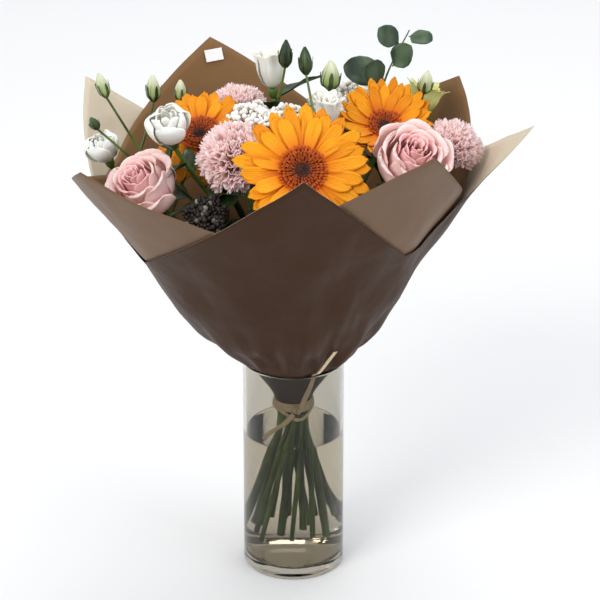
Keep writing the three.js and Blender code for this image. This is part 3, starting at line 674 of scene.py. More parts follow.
def closed_strip(bunch, centres, outward, width, cup, thickness):
    grid = strip_grid(centres, outward, width, cup, closed=True)
    bunch.add(np.concatenate([grid, grid[:1]]), thickness)


def raffia_tie():
    """Turns of raffia round the neck, one of them drooping in front, and three small loops as the knot."""
    bunch = Bunch()
    for radius, tilt, turn, lift, sag, width in (
            (17.0, 0.6, 0.4, 1.6, 0, 4.2), (17.5, -0.8, 1.2, -1.4, 0, 4.4), (18.0, 0.9, 2.6, 0.2, 0, 4.0),
            (18.5, 0.5, 0.25, -2.6, 7.5, 3.0)):
        points = loop_points(radius * MM, tilt * MM, turn, TIE_HEIGHT + lift * MM, sag * MM)
        closed_strip(bunch, points, unit(points * [1, 1, 0]), width * MM, 0.2 * MM, 0.4 * MM)
    front = -BAND_RADIUS - 2.6 * MM
    for tilt, size, reach in ((0.5, 4.6, 0.0), (-0.7, 3.8, 1.0), (1.5, 3.2, 1.8)):
        angle = np.linspace(0, TAU, 25)
        ring = np.stack([size * np.cos(angle), np.full(25, 0.0), 0.72 * size * np.sin(angle)], 1) * MM
        wave = np.stack([np.zeros(25), 1.1 * np.sin(2 * angle + tilt) * MM, np.zeros(25)], 1)
        turned_ring = (ring + wave) @ np.array(Matrix.Rotation(tilt, 3, "Y"))
        turned_ring = turned_ring[:-1]
        centres = turned_ring + [3 * MM, front - reach * MM, TIE_HEIGHT]
        closed_strip(bunch, centres, unit(turned_ring + [0, -1.5 * MM, 0]), 3.2 * MM, 0.4 * MM, 0.5 * MM)
    return bunch.build("raffia_tie", WORLD, [RAFFIA])


finish_piece(raffia_tie(), "raffia", "raffia_tie")


# ------------------------------------------------------------------ stems

def stem_rings(node):
    """The middle of each ring of a stem's tube, from its foot upwards, found by walking up its mesh."""
    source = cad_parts[node].data
    mesh = bmesh.new()
    mesh.from_mesh(source)
    bmesh.ops.remove_doubles(mesh, verts=mesh.verts, dist=1e-6)
    lowest = sorted(mesh.verts, key=lambda vertex: vertex.co.z)[:6]
    seen, ring, centres, radii = set(lowest), lowest, [], []
    while len(ring) == 6:
        middle = sum((vertex.co for vertex in ring), Vector()) / 6
        centres.append(np.array(middle))
        radii.append(np.mean([(vertex.co - middle).length for vertex in ring]))
        around = {edge.other_vert(vertex) for vertex in ring for edge in vertex.link_edges}
        ring = [vertex for vertex in around if vertex not in seen]
        seen.update(ring)
    mesh.free()
    return np.array(centres), float(np.median(radii))


# ------------------------------------------------------------------ petals and blooms

# The turn from one petal to the next where petals grow in a spiral.
SPIRAL = 2.39996
# Each layer of a gerbera's petals: how many, their share of the full length, their lift in millimetres and
# their offset in petals.
GERBERA_LAYERS = ((21, 1.0, -1.2, 0.0), (20, 0.93, 0.6, 0.5), (11, 0.8, 2.0, 0.2))
# Each ring of its eye: how many florets, their share of its radius, their height and width in millimetres
# and their tone.
GERBERA_RINGS = (
    (46, 1.08, 4.6, 1.3, 0.95), (40, 0.9, 5.6, 1.2, 0.8), (34, 0.74, 5.8, 1.1, 0.6),
    (30, 0.6, 5.0, 1.0, 0.35), (22, 0.46, 4.0, 0.9, 0.15),
)
# How far a gerbera's petals spring above its foot.
GERBERA_LEVEL = 12.2 * MM


def gerbera_petal(seat_radius, root, tip, half_width, cup, lift, chance, droop):
    along, across = shares(15, 9)
    shape = np.interp(along, [0, 0.15, 0.45, 0.75, 0.92, 1], [0.3, 0.5, 0.86, 1.0, 0.72, 0.2])
    reach = root + (tip - root) * (
        along - 0.045 * along ** 8 * (across ** 2) + 0.02 * along ** 8 * np.abs(across))
    side = half_width * shape * across + chance.uniform(-1, 1) * 2.2 * MM * along ** 2
    rise = cup * (reach / seat_radius) ** 2 + lift + droop * along ** 2.5
    channel = 0.16 * half_width * shape * (across ** 2) + 0.05 * half_width * np.cos(across * 9.4) * shape
    twist = chance.uniform(-0.35, 0.35) * side * along
    return np.stack([reach, side, rise + channel + twist], -1)


def turn_about_z(grid, angle):
    cos, sin = math.cos(angle), math.sin(angle)
    x, y, z = np.moveaxis(grid, -1, 0)
    return np.stack([x * cos - y * sin, x * sin + y * cos, z], -1)


def gerbera(name, radius, cup, disc, seed, curled=(), bend=9 * MM):
    """Three layers of petals round an eye. Those near a curled angle bend up, or down if bend is negative."""
    chance = np.random.default_rng(seed)
    seat = bloom_seat(f"{name}_petals", FACINGS[name], whole=f"{name}_disc")
    level = GERBERA_LEVEL
    bunch = Bunch()
    for count, share, lift, offset in GERBERA_LAYERS:
        for i in range(count):
            angle = (i + offset + chance.uniform(-0.16, 0.16)) * TAU / count
            tip = radius * share * chance.uniform(0.93, 1.04)
            droop = chance.uniform(-2.5, 2.5) * MM
            if any(abs((angle - way + math.pi) % TAU - math.pi) < 0.5 for way in curled):
                droop += bend * chance.uniform(0.5, 1)
                tip *= 0.93
            petal = gerbera_petal(radius, disc * 0.5, tip, radius * 0.112, cup, lift * MM, chance, droop)
            bunch.add(turn_about_z(petal + [0, 0, level], angle), 0.5 * MM, chance.uniform(0.2, 1))
    petals = bunch.build(f"{name}_petals", seat, [GERBERA_PETAL])
    finish_piece(petals, "gerbera_petals", f"{name}_petals")
    finish_piece(gerbera_eye(name, seat, disc, level, chance), "gerbera_disc", f"{name}_disc")


def gerbera_eye(name, seat, disc, level, chance):
    """The green cup behind, a dark middle of packed florets and rings of short strap florets."""
    bunch = Bunch()
    for count, reach, height, width, tone in GERBERA_RINGS:
        for i in range(count):
            angle = (i + chance.uniform(-0.3, 0.3)) * TAU / count
            along, across = shares(5, 3)
            size = chance.uniform(0.85, 1.15)
            out = disc * (reach - 0.22 + 0.26 * along ** 1.4 * size) + 0 * across
            rise = (height * np.sin(along * 1.9) * size) * MM + 0 * across
            side = width * MM * across * (1 - 0.6 * along ** 3)
            bunch.add(turn_about_z(np.stack([out, side, rise + level], -1), angle), 0.4 * MM,
                      np.clip(tone + chance.uniform(-0.2, 0.2), 0, 1))
    florets = bunch.build(f"{name}_florets", seat, [GERBERA_EYE])
    cup = turned_piece(f"{name}_cup", [
        (0, 0), (5 * MM, 0), (disc * 0.8, 5 * MM), (disc * 0.9, 10.5 * MM), (disc * 0.62, 12 * MM),
        (disc * 0.5, level + 2.6 * MM), (disc * 0.3, level + 3.2 * MM), (0, level + 2.6 * MM),
    ], 40, STEM_GREEN, seat)
    paint_top(cup, GERBERA_DARK, seat, level + 1.0 * MM)
    grains = grain_dome(f"{name}_grains", disc * 0.44, level + 2.4 * MM, 1.5 * MM, seat, GERBERA_DARK, seed=3)
    return join_pieces(f"{name}_disc", [florets, cup, grains])


def paint_top(piece, material, seat, level):
    """Gives the faces above a level of the flower its own material."""
    piece.data.materials.append(material)
    slot = len(piece.data.materials) - 1
    for face in piece.data.polygons:
        if (np.array(face.center) - seat.origin) @ seat.z > level:
            face.material_index = slot


def turned_piece(name, profile, segments, material, seat):
    points, faces = turned(profile, segments)
    return mesh_object(name, seat.out(points), faces, [material])


def join_pieces(node, pieces):
    """Several closed bodies as one named mesh."""
    name = node.replace("_", "-")
    mesh = bmesh.new()
    materials = []
    for piece in pieces:
        start = len(mesh.faces)
        mesh.from_mesh(piece.data)
        mesh.faces.ensure_lookup_table()
        slots = []
        for material in piece.data.materials:
            if material not in materials:
                materials.append(material)
            slots.append(materials.index(material))
        for face in mesh.faces[start:]:
            face.material_index = slots[face.material_index]
    joined = bpy.data.meshes.new(name)
    mesh.to_mesh(joined)
    mesh.free()
    for material in materials:
        joined.materials.append(material)
    for piece in pieces:
        bpy.data.objects.remove(piece)
    return link(bpy.data.objects.new(name, joined))


# ------------------------------------------------------------------ grains spread over a surface

def grain_tree(material):
    """Geometry nodes that spread small grains over the mesh they are given."""
    tree = bpy.data.node_groups.new("spread grains", "GeometryNodeTree")
    face = tree.interface
    face.new_socket("Geometry", in_out="INPUT", socket_type="NodeSocketGeometry")
    sockets = {}
    for label, kind in (("Spacing", "NodeSocketFloat"), ("Grain Radius", "NodeSocketFloat"),
                        ("Seed", "NodeSocketInt")):
        sockets[label] = face.new_socket(label, in_out="INPUT", socket_type=kind).identifier
    face.new_socket("Geometry", in_out="OUTPUT", socket_type="NodeSocketGeometry")
    new = tree.nodes.new
    start, end = new("NodeGroupInput"), new("NodeGroupOutput")
    spread = new("GeometryNodeDistributePointsOnFaces")
    spread.distribute_method = "POISSON"
    spread.inputs["Density Max"].default_value = 3e6
    grain = new("GeometryNodeMeshIcoSphere")
    grain.inputs["Subdivisions"].default_value = 2
    place = new("GeometryNodeInstanceOnPoints")
    size = new("FunctionNodeRandomValue")
    size.inputs[2].default_value = 0.6
    size.inputs[3].default_value = 1.25
    tone = new("FunctionNodeRandomValue")
    store = new("GeometryNodeStoreNamedAttribute")
    store.domain = "INSTANCE"
    store.inputs["Name"].default_value = "tone"
    real, paint = new("GeometryNodeRealizeInstances"), new("GeometryNodeSetMaterial")
    paint.inputs["Material"].default_value = material
    smooth = new("GeometryNodeSetShadeSmooth")
    for source, output, target, into in (
            (start, "Geometry", spread, "Mesh"), (start, "Spacing", spread, "Distance Min"),
            (start, "Seed", spread, "Seed"), (start, "Grain Radius", grain, "Radius"),
            (start, "Seed", size, "Seed"), (start, "Seed", tone, "Seed"),
            (spread, "Points", place, "Points"), (grain, "Mesh", place, "Instance"),
            (spread, "Rotation", place, "Rotation"), (size, 1, place, "Scale"),
            (place, "Instances", store, "Geometry"), (tone, 1, store, "Value"),
            (store, "Geometry", real, "Geometry"), (real, "Geometry", smooth, "Geometry"),
            (smooth, "Geometry", paint, "Geometry"), (paint, "Geometry", end, "Geometry")):
        tree.links.new(source.outputs[output], target.inputs[into])
    return tree, sockets


def spread_grains(name, surface, spacing, grain_radius, seed, material):
    """Replaces a surface by grains spread over it, as a plain mesh."""
    tree, sockets = grain_tree(material)
    modifier = surface.modifiers.new("grains", "NODES")
    modifier.node_group = tree
    modifier[sockets["Spacing"]] = spacing
    modifier[sockets["Grain Radius"]] = grain_radius
    modifier[sockets["Seed"]] = seed
    evaluated = surface.evaluated_get(bpy.context.evaluated_depsgraph_get())
    mesh = bpy.data.meshes.new_from_object(evaluated)
    bpy.data.objects.remove(surface)
    return link(bpy.data.objects.new(name, mesh))


def grain_dome(name, radius, level, grain, seat, material, seed):
    dome = turned_piece(name + "_dome", [
        (0, level - 1 * MM), (radius, level - 0.8 * MM), (radius * 0.8, level + 0.5 * MM),
        (radius * 0.4, level + 1.2 * MM), (0, level + 1.0 * MM)], 24, material, seat)
    return spread_grains(name, dome, grain * 0.8, grain * 0.55, seed, material)


# ------------------------------------------------------------------ roses and other cup-shaped blooms

def cup_petal(profile, turn, half_angle, top_drop, ruffle, phase, rows=14, columns=15, point=0.0, lean=0.05):
    """A petal wrapped round the flower's axis; profile lists its [radius, height] from root to rim."""
    along, across = shares(rows, columns)
    profile = np.array(profile)
    where = np.linspace(0, 1, len(profile))
    limit = 1 - top_drop * np.abs(across) ** 2.4 + point * np.exp(-(across / 0.18) ** 2)
    reach = along * limit
    radius = np.interp(reach.ravel(), where, profile[:, 0]).reshape(reach.shape)
    height = np.interp(reach.ravel(), where, profile[:, 1]).reshape(reach.shape)
    widen = np.interp(along, [0, 0.3, 0.7, 1], [0.45, 0.85, 1.0, 0.92])
    angle = turn + half_angle * widen * across
    wave = ruffle * along ** 3 * np.sin(across * 4.5 + phase)
    radius = radius * (1 + lean * across) + wave
    return np.stack([radius * np.cos(angle), radius * np.sin(angle), height + wave * 0.6], -1)


def smooth_profile(points, count=14):
    points = np.array(points, float)
    return smooth_path(np.column_stack([points, np.zeros(len(points))]), np.ptp(points[:, 1]) / count)[:, :2]


def rose(name, seed):
    """Petals in a spiral, the inner ones upright round the heart, the outer ones open with a rolled rim."""
    chance = np.random.default_rng(seed)
    seat = bloom_seat(f"{name}_outer_petals", FACINGS[name])
    size = seat.radius
    low = 0.04 * size
    full = 1.42 * size
    heart, outer = Bunch(), Bunch()
    count = 29
    for i in range(count):
        share = i / (count - 1)
        turn = i * SPIRAL + chance.uniform(-0.2, 0.2)
        open_ = share ** 1.25
        belly = size * (0.10 + 0.80 * open_)
        top = full * (0.99 - 0.36 * open_ ** 1.6) + chance.uniform(-0.02, 0.02) * size
        roll = size * (0.02 + 0.17 * max(0, share - 0.35)) * chance.uniform(0.7, 1.2)
        profile = smooth_profile([
            (0.14 * size + 0.02 * size * share, low), (belly * 0.82, low + 0.22 * full), (belly, top * 0.62),
            (belly * (0.80 + 0.17 * share), top * 0.88),
            (belly * (0.78 + 0.2 * share) + roll * 0.6, top * 0.985),
            (belly * (0.80 + 0.18 * share) + roll * 1.5, top * (0.985 - 0.045 * share))])
        profile[:, 0] = np.minimum(profile[:, 0], 0.93 * size)
        half = 1.05 - 0.22 * share
        petal = cup_petal(profile, turn, half, 0.16 + 0.1 * share, 0.03 * size * share,
                          chance.uniform(0, TAU), point=0.04 + 0.05 * share)
        bunch = heart if share < 0.55 else outer
        bunch.add(petal, 0.45 * MM, chance.uniform(0.4, 1))
    heart_piece = heart.build(f"{name}_heart", seat, [ROSE_HEART])
    outer_piece = outer.build(f"{name}_outer_petals", seat, [ROSE_OUTER])
    finish_piece(heart_piece, "rose_heart", f"{name}_heart")
    finish_piece(outer_piece, "rose_outer_petals", f"{name}_outer_petals")


def carnation(name, seed):
    """A ball of waved, toothed petals that all grow from its root."""
    chance = np.random.default_rng(seed)
    seat = bloom_seat(f"{name}_bloom", FACINGS[name])
    size = seat.radius
    root = np.array([0, 0, 0.34 * size])
    middle = np.array([0, 0, 0.76 * size])
    bunch = Bunch()
    count = 84
    for i in range(count):
        share = (i + 0.5) / count
        slope = 0.06 + 1.62 * share ** 0.62
        turn = i * SPIRAL
        way = np.array([math.sin(slope) * math.cos(turn), math.sin(slope) * math.sin(turn), math.cos(slope)])
        tip = middle + way * size * [0.97, 0.97, 0.72] * chance.uniform(0.87, 1.03)
        line = tip - root
        length = np.linalg.norm(line)
        line = line / length
        side = unit(np.cross(line, chance.normal(size=3)))
        face = np.cross(side, line)
        along, across = shares(8, 19)
        half = size * chance.uniform(0.26, 0.36)
        teeth = np.where(np.arange(19) % 2, 0.07, -0.03)[None] * np.clip((along - 0.7) / 0.3, 0, 1)
        reach = length * (along * (1 - 0.12 * across ** 2) + teeth)
        breadth = half * (0.16 + 0.84 * along ** 2.2) * across
        wave = size * 0.095 * along ** 3 * (
            np.sin(across * 6 + chance.uniform(0, TAU)) + 0.6 * np.sin(across * 12 + turn))
        grid = root + reach[..., None] * line + breadth[..., None] * side + wave[..., None] * face
        bunch.add(grid, 0.4 * MM, chance.uniform(0.1, 1))
    piece = bunch.build(f"{name}_bloom", seat, [CARNATION])
    finish_piece(piece, "carnation_petals", f"{name}_bloom")


def lisianthus(name, seed, material, slot, ruffle=0.1, flare=0.25):
    """A cup of petals, open with a positive flare and still closing over its middle with a negative one."""
    chance = np.random.default_rng(seed)
    seat = bloom_seat(f"{name}_bloom", FACINGS[name])
    size, full = seat.radius, seat.height
    bunch = Bunch()
    count = 13
    for i in range(count):
        share = i / (count - 1)
        turn = i * SPIRAL + chance.uniform(-0.15, 0.15)
        belly = size * (0.22 + 0.66 * share)
        top = full * ((0.93 + 0.07 * share if flare > 0 else 1 - 0.2 * share) + chance.uniform(-0.03, 0.03))
        if flare > 0:
            ends = [(belly * 1.02 + flare * 0.35 * size * share, 0.92 * top),
                    (belly + flare * size * (0.3 + share) * 0.8, top)]
        else:
            ends = [(belly * (1 + 0.3 * flare), 0.9 * top), (belly * (1 + flare), top)]
        profile = smooth_profile([
            (0.16 * size, 0.01 * full), (belly * 0.66, 0.16 * full), (belly * 0.98, 0.48 * full),
            (belly, 0.74 * full), *ends])
        half, drop = (0.95 - 0.2 * share, 0.1) if flare > 0 else (0.95, 0.26)
        petal = cup_petal(profile, turn, half, drop, ruffle * size * (0.6 + share), chance.uniform(0, TAU))
        bunch.add(petal, 0.4 * MM, chance.uniform(0.5, 1))
    piece = bunch.build(f"{name}_bloom", seat, [material])
    finish_piece(piece, slot, f"{name}_bloom")


# The way each bloom faces.
FACINGS = {
    "gerbera_front": (0.02, -0.78, 0.63), "gerbera_right": (0.08, -0.5, 0.86),
    "gerbera_left": (-0.15, -0.5, 0.85),
    "rose_left": (-0.42, -0.42, 0.8), "rose_right": (0.22, -0.55, 0.81),
    "carnation_left": (-0.1, -0.66, 0.75), "carnation_right": (0.42, -0.15, 0.9),
    "carnation_back": (-0.15, 0.3, 0.94),
    "lisianthus_left": (-0.15, -0.35, 0.92), "lisianthus_far": (-0.3, -0.25, 0.92),
    "lisianthus_back": (-0.1, 0.1, 0.99), "lisianthus_mid": (0.1, -0.1, 0.99),
    "lisianthus_green": (0.3, 0.2, 0.93),
}

gerbera("gerbera_front", 58 * MM, 3 * MM, 19 * MM, 4, curled=(3.7,))
gerbera("gerbera_right", 42 * MM, 16 * MM, 15 * MM, 9)
gerbera("gerbera_left", 47 * MM, 3 * MM, 16 * MM, 21, curled=(3.9, 4.6), bend=-20 * MM)
rose("rose_left", 5)
rose("rose_right", 8)
carnation("carnation_left", 11)
carnation("carnation_right", 12)
carnation("carnation_back", 13)
lisianthus("lisianthus_left", 31, LISIANTHUS, "white_petals", ruffle=0.06, flare=-0.3)
lisianthus("lisianthus_far", 32, LISIANTHUS, "white_petals", ruffle=0.05, flare=-0.4)
lisianthus("lisianthus_back", 33, LISIANTHUS, "white_petals")
lisianthus("lisianthus_mid", 34, LISIANTHUS, "white_petals")
lisianthus("lisianthus_green", 35, GREEN_PETAL, "green_petals", ruffle=0.16, flare=0.3)


# ------------------------------------------------------------------ stems with the cups under their flowers

# The half width and the length of the green cup under each kind of bloom, in millimetres.
CUPS = {"rose": (7, 12), "carnation": (6, 20), "lisianthus": (4.5, 9)}
# Between which heights each stem carries leaves, in metres.
LEAFY = {
    "rose_left": (0.25, 0.345), "rose_right": (0.26, 0.37), "carnation_left": (0.27, 0.37),
    "carnation_back": (0.27, 0.36), "lisianthus_left": (0.29, 0.40), "lisianthus_far": (0.27, 0.375),
    "lisianthus_back": (0.30, 0.425), "lisianthus_mid": (0.30, 0.41), "lisianthus_green": (0.28, 0.38),
    "lisianthus_side": (0.26, 0.385), "rice_flower_left": (0.25, 0.35), "rice_flower_mid": (0.26, 0.36),
    "rice_flower_back": (0.25, 0.33), "rice_flower_low": (0.235, 0.27),
}
LEAF_SPACING = 0.012
# The shares of a leaf's length, and its share of the half width at each.
LONG_LEAF = ([0, 0.06, 0.14, 0.35, 0.6, 0.85, 1], [0.07, 0.08, 0.45, 0.95, 0.9, 0.45, 0.03])
# The stem from which each bud's own shoot forks.
SHOOTS = {
    "bud_tall": "lisianthus_side", "bud_dark": "lisianthus_side", "bud_left_1": "lisianthus_far",
    "bud_left_2": "lisianthus_far", "bud_back_1": "lisianthus_back", "bud_back_2": "lisianthus_mid",
    "bud_back_3": "lisianthus_mid", "bud_right": "lisianthus_green",
}


def blade(root, along, normal, length, half, shape, fold=0.3, curl=0.1, wave=0.03, phase=0.0):
    """A leaf's grid from its root, folded along its midrib and curling down towards its tip."""
    share, side = shares(18, 9)
    width = half * np.interp(share, shape[0], shape[1]) * side
    rise = (fold * np.abs(width * side) - curl * length * share ** 2
            + wave * length * np.sin(share * 9 + phase) * side)
    out = length * share + 0 * side
    return (root + out[..., None] * along + width[..., None] * np.cross(normal, along)
            + rise[..., None] * normal)


PAPER_ANGLES, PAPER_LINES = sheet_columns("wrap_inner_sheet")


def room_to_paper(point):
    """How far a point is from the inner sheet, level and outwards."""
    azimuth = math.degrees(math.atan2(point[0], -point[1])) % 360
    column = PAPER_LINES[int(np.argmin(np.abs((PAPER_ANGLES - azimuth + 180) % 360 - 180)))]
    rising = column[:int(np.argmax(column[:, 1])) + 1]
    return float(np.interp(point[2], rising[:, 1], rising[:, 0]) - math.hypot(point[0], point[1]))


def foliage(line, name, chance):
    """Dark leaves up a stem, where the wrap and the blooms close round it."""
    bunch = Bunch()
    lowest, highest = LEAFY[name]
    for number, height in enumerate(np.arange(lowest, highest, LEAF_SPACING)):
        place = int(np.argmin(np.abs(line[:, 2] - height)))
        growing = unit(line[min(place + 1, len(line) - 1)] - line[place - 1])
        turn = number * 2.4 + chance.uniform(-0.4, 0.4)
        side = unit(np.cross(growing, [math.cos(turn), math.sin(turn), 0.1]))
        along = unit(side + growing * chance.uniform(0.25, 0.8))
        normal = unit(growing - along * (growing @ along))
        length = chance.uniform(34, 54) * MM
        while room_to_paper(line[place] + along * length) < 7 * MM and length > 12 * MM:
            length *= 0.85
        bunch.add(blade(line[place], along, normal, length, length * chance.uniform(0.2, 0.3), LONG_LEAF,
                        curl=chance.uniform(0.05, 0.25), phase=turn), 0.35 * MM)
    return bunch.build(f"{name}_leaves", WORLD, [LEAF_GREEN])


def stem_and_cup(name):
    """A stem with its leaves, the cup under its bloom and the shoots of its buds, as one piece."""
    node = f"{name}_stem"
    kind = name.split("_")[0]
    centres, radius = stem_rings(node)
    pieces = []
    if name in FACINGS and kind in CUPS:
        facing = FACINGS[name]
        wide, long = CUPS[kind]
        seat = bloom_seat(f"{name}_outer_petals" if kind == "rose" else f"{name}_bloom", facing)
        foot = seat.origin - seat.z * 0.3 * MM
        base = foot - seat.z * long * MM
        below = centres[centres @ UP < (base - seat.z * 8 * MM) @ UP]
        centres = np.concatenate([below, [base, foot - seat.z * MM]])
        pieces.append(turned_piece(node, [
            (0, -long * MM), (radius, -long * MM), (wide * 0.86 * MM, -0.6 * long * MM),
            (wide * MM, -0.2 * long * MM), (wide * 0.9 * MM, 0), (0, 0)], 20, STEM_GREEN, Seat(foot, facing)))
    line = smooth_path(centres, 3 * MM)
    share = np.linspace(0, 1, len(line))
    narrowing = 0.72 * share ** 3 if name == "eucalyptus" else 0.1 * share
    pieces.append(tube(node, line, radius * (1 + 0.06 * np.sin(share * 23) ** 8 - narrowing), 14, STEM_GREEN))
    if name in LEAFY:
        pieces.append(foliage(line, name, np.random.default_rng(len(name) * 7 + int(radius * 1e5))))
    for own_bud in [shoot for shoot, parent in SHOOTS.items() if parent == name]:
        foot, way = bud_seat(own_bud)
        distance = np.linalg.norm(line - (foot - way * 40 * MM), axis=1)
        fork = line[np.argmin(distance + 0.3 * np.abs(line[:, 2] - foot[2] + 45 * MM))]
        middle = fork + (foot - fork) * 0.5 - way * np.linalg.norm(foot - fork) * 0.16
        shoot = smooth_path([fork, middle, foot - way * 0.2 * MM], 2 * MM)
        pieces.append(tube(node, shoot, np.linspace(1.3, 1.0, len(shoot)) * MM, 10, STEM_GREEN))
    finish_piece(join_pieces(node, pieces), "green_stem", node)


def bud_seat(node):
    """A bud's blunt lower end and the way it points."""
    points = node_points(node)
    centre = points.mean(0)
    directions = np.linalg.eigh(np.cov((points - centre).T))[1]
    axis = directions[:, 2] * np.sign(directions[2, 2])
    return centre + axis * ((points - centre) @ axis).min(), axis


def bud(node, seed):
    """A closed bud: five petals folded over a core, and five sepals round its foot."""
    chance = np.random.default_rng(seed)
    foot, way = bud_seat(node)
    points = node_points(node)
    length = float(((points - foot) @ way).max())
    seat = Seat(foot, way, length)
    size = farthest(points, foot, way)
    dark = node in ("bud_dark", "bud_back_1", "bud_back_2")
    bunch = Bunch()
    for i in range(5):
        turn = i * TAU / 5 + chance.uniform(-0.1, 0.1)
        profile = smooth_profile([
            (0.3 * size, 0.02 * length), (0.92 * size, 0.24 * length), (0.95 * size, 0.45 * length),
            (0.62 * size, 0.75 * length), (0.14 * size, 0.985 * length)])
        petal = cup_petal(profile, turn, 1.05, 0.12, 0.02 * size, turn, rows=12, columns=11, lean=0.12)
        bunch.add(petal, 0.4 * MM, chance.uniform(0.5, 1))
    for i in range(5):
        turn = (i + 0.5) * TAU / 5
        profile = smooth_profile([
            (0.36 * size, 0), (1.0 * size, 0.2 * length), (1.14 * size, 0.42 * length),
            (1.2 * size, 0.62 * length)])
        sepal = cup_petal(profile, turn, 0.3, 0.7, 0, 0, rows=9, columns=7)
        bunch.add(sepal, 0.35 * MM, 0.2, slot=1)
    core = turned_piece(node, [
        (0, 0), (0.35 * size, 0), (0.8 * size, 0.25 * length), (0.8 * size, 0.5 * length),
        (0.4 * size, 0.8 * length), (0, 0.95 * length)], 16, BUD, seat)
    colour = [LEAF_GREEN, LEAF_GREEN] if dark else [BUD, LEAF_GREEN]
    finish_piece(join_pieces(node, [bunch.build(node, seat, colour), core]), "flower_bud", node)


for stem_name in (*FACINGS, "lisianthus_side", "eucalyptus"):
    stem_and_cup(stem_name)
for bud_number, bud_name in enumerate(SHOOTS):
    bud(bud_name, 50 + bud_number)


# ------------------------------------------------------------------ rice flower

def rice_flower(node, facing, grain, seed):
    """A loose head of small round clusters, each on a thin stalk of its own."""
    chance = np.random.default_rng(seed)
    centres, radius = stem_rings(node)
    points = node_points(node)
    axis = unit(np.array(facing, float))
    heights = (points - centres[-1]) @ axis
    upper = points[heights > 0.35 * heights.max()]
    wide = farthest(upper, centres[-1], axis)
    middle = centres[-1] + axis * (heights.max() - 0.5 * wide)
    seat = Seat(middle, axis)
    fork = middle - axis * 0.8 * wide
    line = smooth_path(np.concatenate([centres[:-1], [fork]]), 3 * MM)
    pieces = [tube(node, line, np.full(len(line), radius), 10, STEM_GREEN), foliage(line, node, chance)]
    clusters = []
    count = 21
    for i in range(count):
        share = (i + 0.5) / count
        out = 0.84 * wide * math.sqrt(share) * chance.uniform(0.85, 1.08)
        turn = i * SPIRAL
        height = wide * (0.34 - 0.42 * share ** 1.5 + chance.uniform(-0.14, 0.12))
        spot = np.array([out * math.cos(turn), out * math.sin(turn), height])
        size = wide * chance.uniform(0.15, 0.21)
        clusters.append(turned_piece(node, [
            (0, -0.6 * size), (0.7 * size, -0.3 * size), (size, 0.3 * size), (0.8 * size, 0.8 * size),
            (0, size)], 10, RICE, Seat(seat.out(spot), axis)))
        end = seat.out(spot)
        bend = fork + (end - fork) * 0.55 + axis * 0.16 * wide
        stalk = smooth_path([fork - axis * 1.5 * MM, bend, end], 3 * MM)
        pieces.append(tube(node, stalk, np.linspace(0.8, 0.5, len(stalk)) * MM, 6, RICE_STALK))
    material = RICE_SHADED if node.endswith("low") else RICE
    pieces.append(spread_grains(node, join_pieces(node, clusters), grain * 1.45, grain, seed, material))
    finish_piece(join_pieces(node, pieces), "rice_flower", node)


rice_flower("rice_flower_left", (0.0, 0.0, 1.0), 2.1 * MM, 61)
rice_flower("rice_flower_mid", (0.0, 0.0, 1.0), 2.1 * MM, 62)
rice_flower("rice_flower_back", (0.0, 0.0, 1.0), 2.2 * MM, 63)
rice_flower("rice_flower_low", (-0.3, -0.6, 0.74), 2.1 * MM, 64)


# ------------------------------------------------------------------ leaves

def leaf(node, slot, material, fold, curl, shape, phase):
    """A leaf in the place of its node, from the node's own length, width and lean."""
    points = node_points(node)
    centre = points.mean(0)
    directions = np.linalg.eigh(np.cov((points - centre).T))[1]
    along, normal = directions[:, 2], directions[:, 0]
    reach = (points - centre) @ along
    ends = [points[reach < reach.min() + 0.5 * MM], points[reach > reach.max() - 0.5 * MM]]
    stalk = max(ends, key=len).mean(0)
    along = along * np.sign((centre - stalk) @ along)
    normal = normal * np.sign(normal[2])
    half = float(np.abs((points - centre) @ directions[:, 1]).max())
    bunch = Bunch()
    grid = blade(stalk, along, normal, float(np.ptp(reach)), half, shape, fold, curl, phase=phase)
    bunch.add(grid, 0.4 * MM)
    finish_piece(bunch.build(node, WORLD, [material]), slot, node)


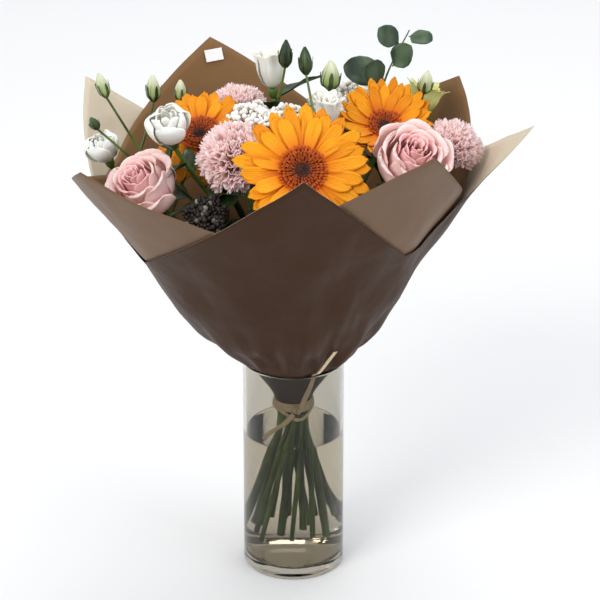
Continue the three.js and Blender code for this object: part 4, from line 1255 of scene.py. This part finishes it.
ROUND_LEAF = ([0, 0.07, 0.14, 0.3, 0.5, 0.7, 0.87, 0.96, 1],
              [0.06, 0.07, 0.42, 0.86, 1.0, 0.93, 0.66, 0.34, 0.05])
for number in range(1, 6):
    leaf(f"eucalyptus_leaf_{number}", "eucalyptus_leaf", EUCALYPTUS_GREEN, 0.16, 0.05, ROUND_LEAF,
         70 + number)
leaf("rose_leaf_left", "green_leaf", LEAF_GREEN, 0.3, 0.1, LONG_LEAF, 80)
leaf("filler_leaf_left", "green_leaf", LEAF_GREEN, 0.3, 0.08, LONG_LEAF, 81)


# ------------------------------------------------------------------ blank label

def card_finish():
    finish = Finish("white card")
    grain = finish.noise(500, 3)
    return finish.surface(finish.blend(grain * 0.3, rgb(244, 244, 242), rgb(226, 226, 222)), 0.55)


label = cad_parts["blank_label"]
label.data.materials.clear()
label.data.materials.append(card_finish())


# ------------------------------------------------------------------ floor and light

def floor_finish():
    finish = Finish("pale floor")
    return finish.surface(rgb(238, 238, 237), 0.9)


floor = mesh_object("floor", [(-6, -6, 0), (6, -6, 0), (6, 6, 0), (-6, 6, 0)], [(0, 1, 2, 3)],
                    [floor_finish()])


def area_light(name, place, target, size, power, colour=(1, 1, 1)):
    light = bpy.data.lights.new(name, "AREA")
    light.size = size
    light.energy = power
    light.color = colour
    holder = bpy.data.objects.new(name, light)
    holder.location = place
    holder.rotation_euler = (Vector(target) - Vector(place)).to_track_quat("-Z", "Y").to_euler()
    return link(holder)


area_light("key", (-1.3, -1.6, 2.0), (0, 0, 0.3), 1.2, 34, (1.0, 0.98, 0.95))
area_light("fill", (1.8, -1.2, 1.1), (0, 0, 0.3), 1.5, 12, (0.95, 0.97, 1.0))
area_light("top", (0.3, 0.9, 2.1), (0, 0, 0.3), 1.3, 16)

world = bpy.data.worlds.new("studio")
world.use_nodes = True
world.node_tree.nodes["Background"].inputs["Color"].default_value = (0.93, 0.95, 1, 1)
world.node_tree.nodes["Background"].inputs["Strength"].default_value = 0.75
bpy.context.scene.world = world
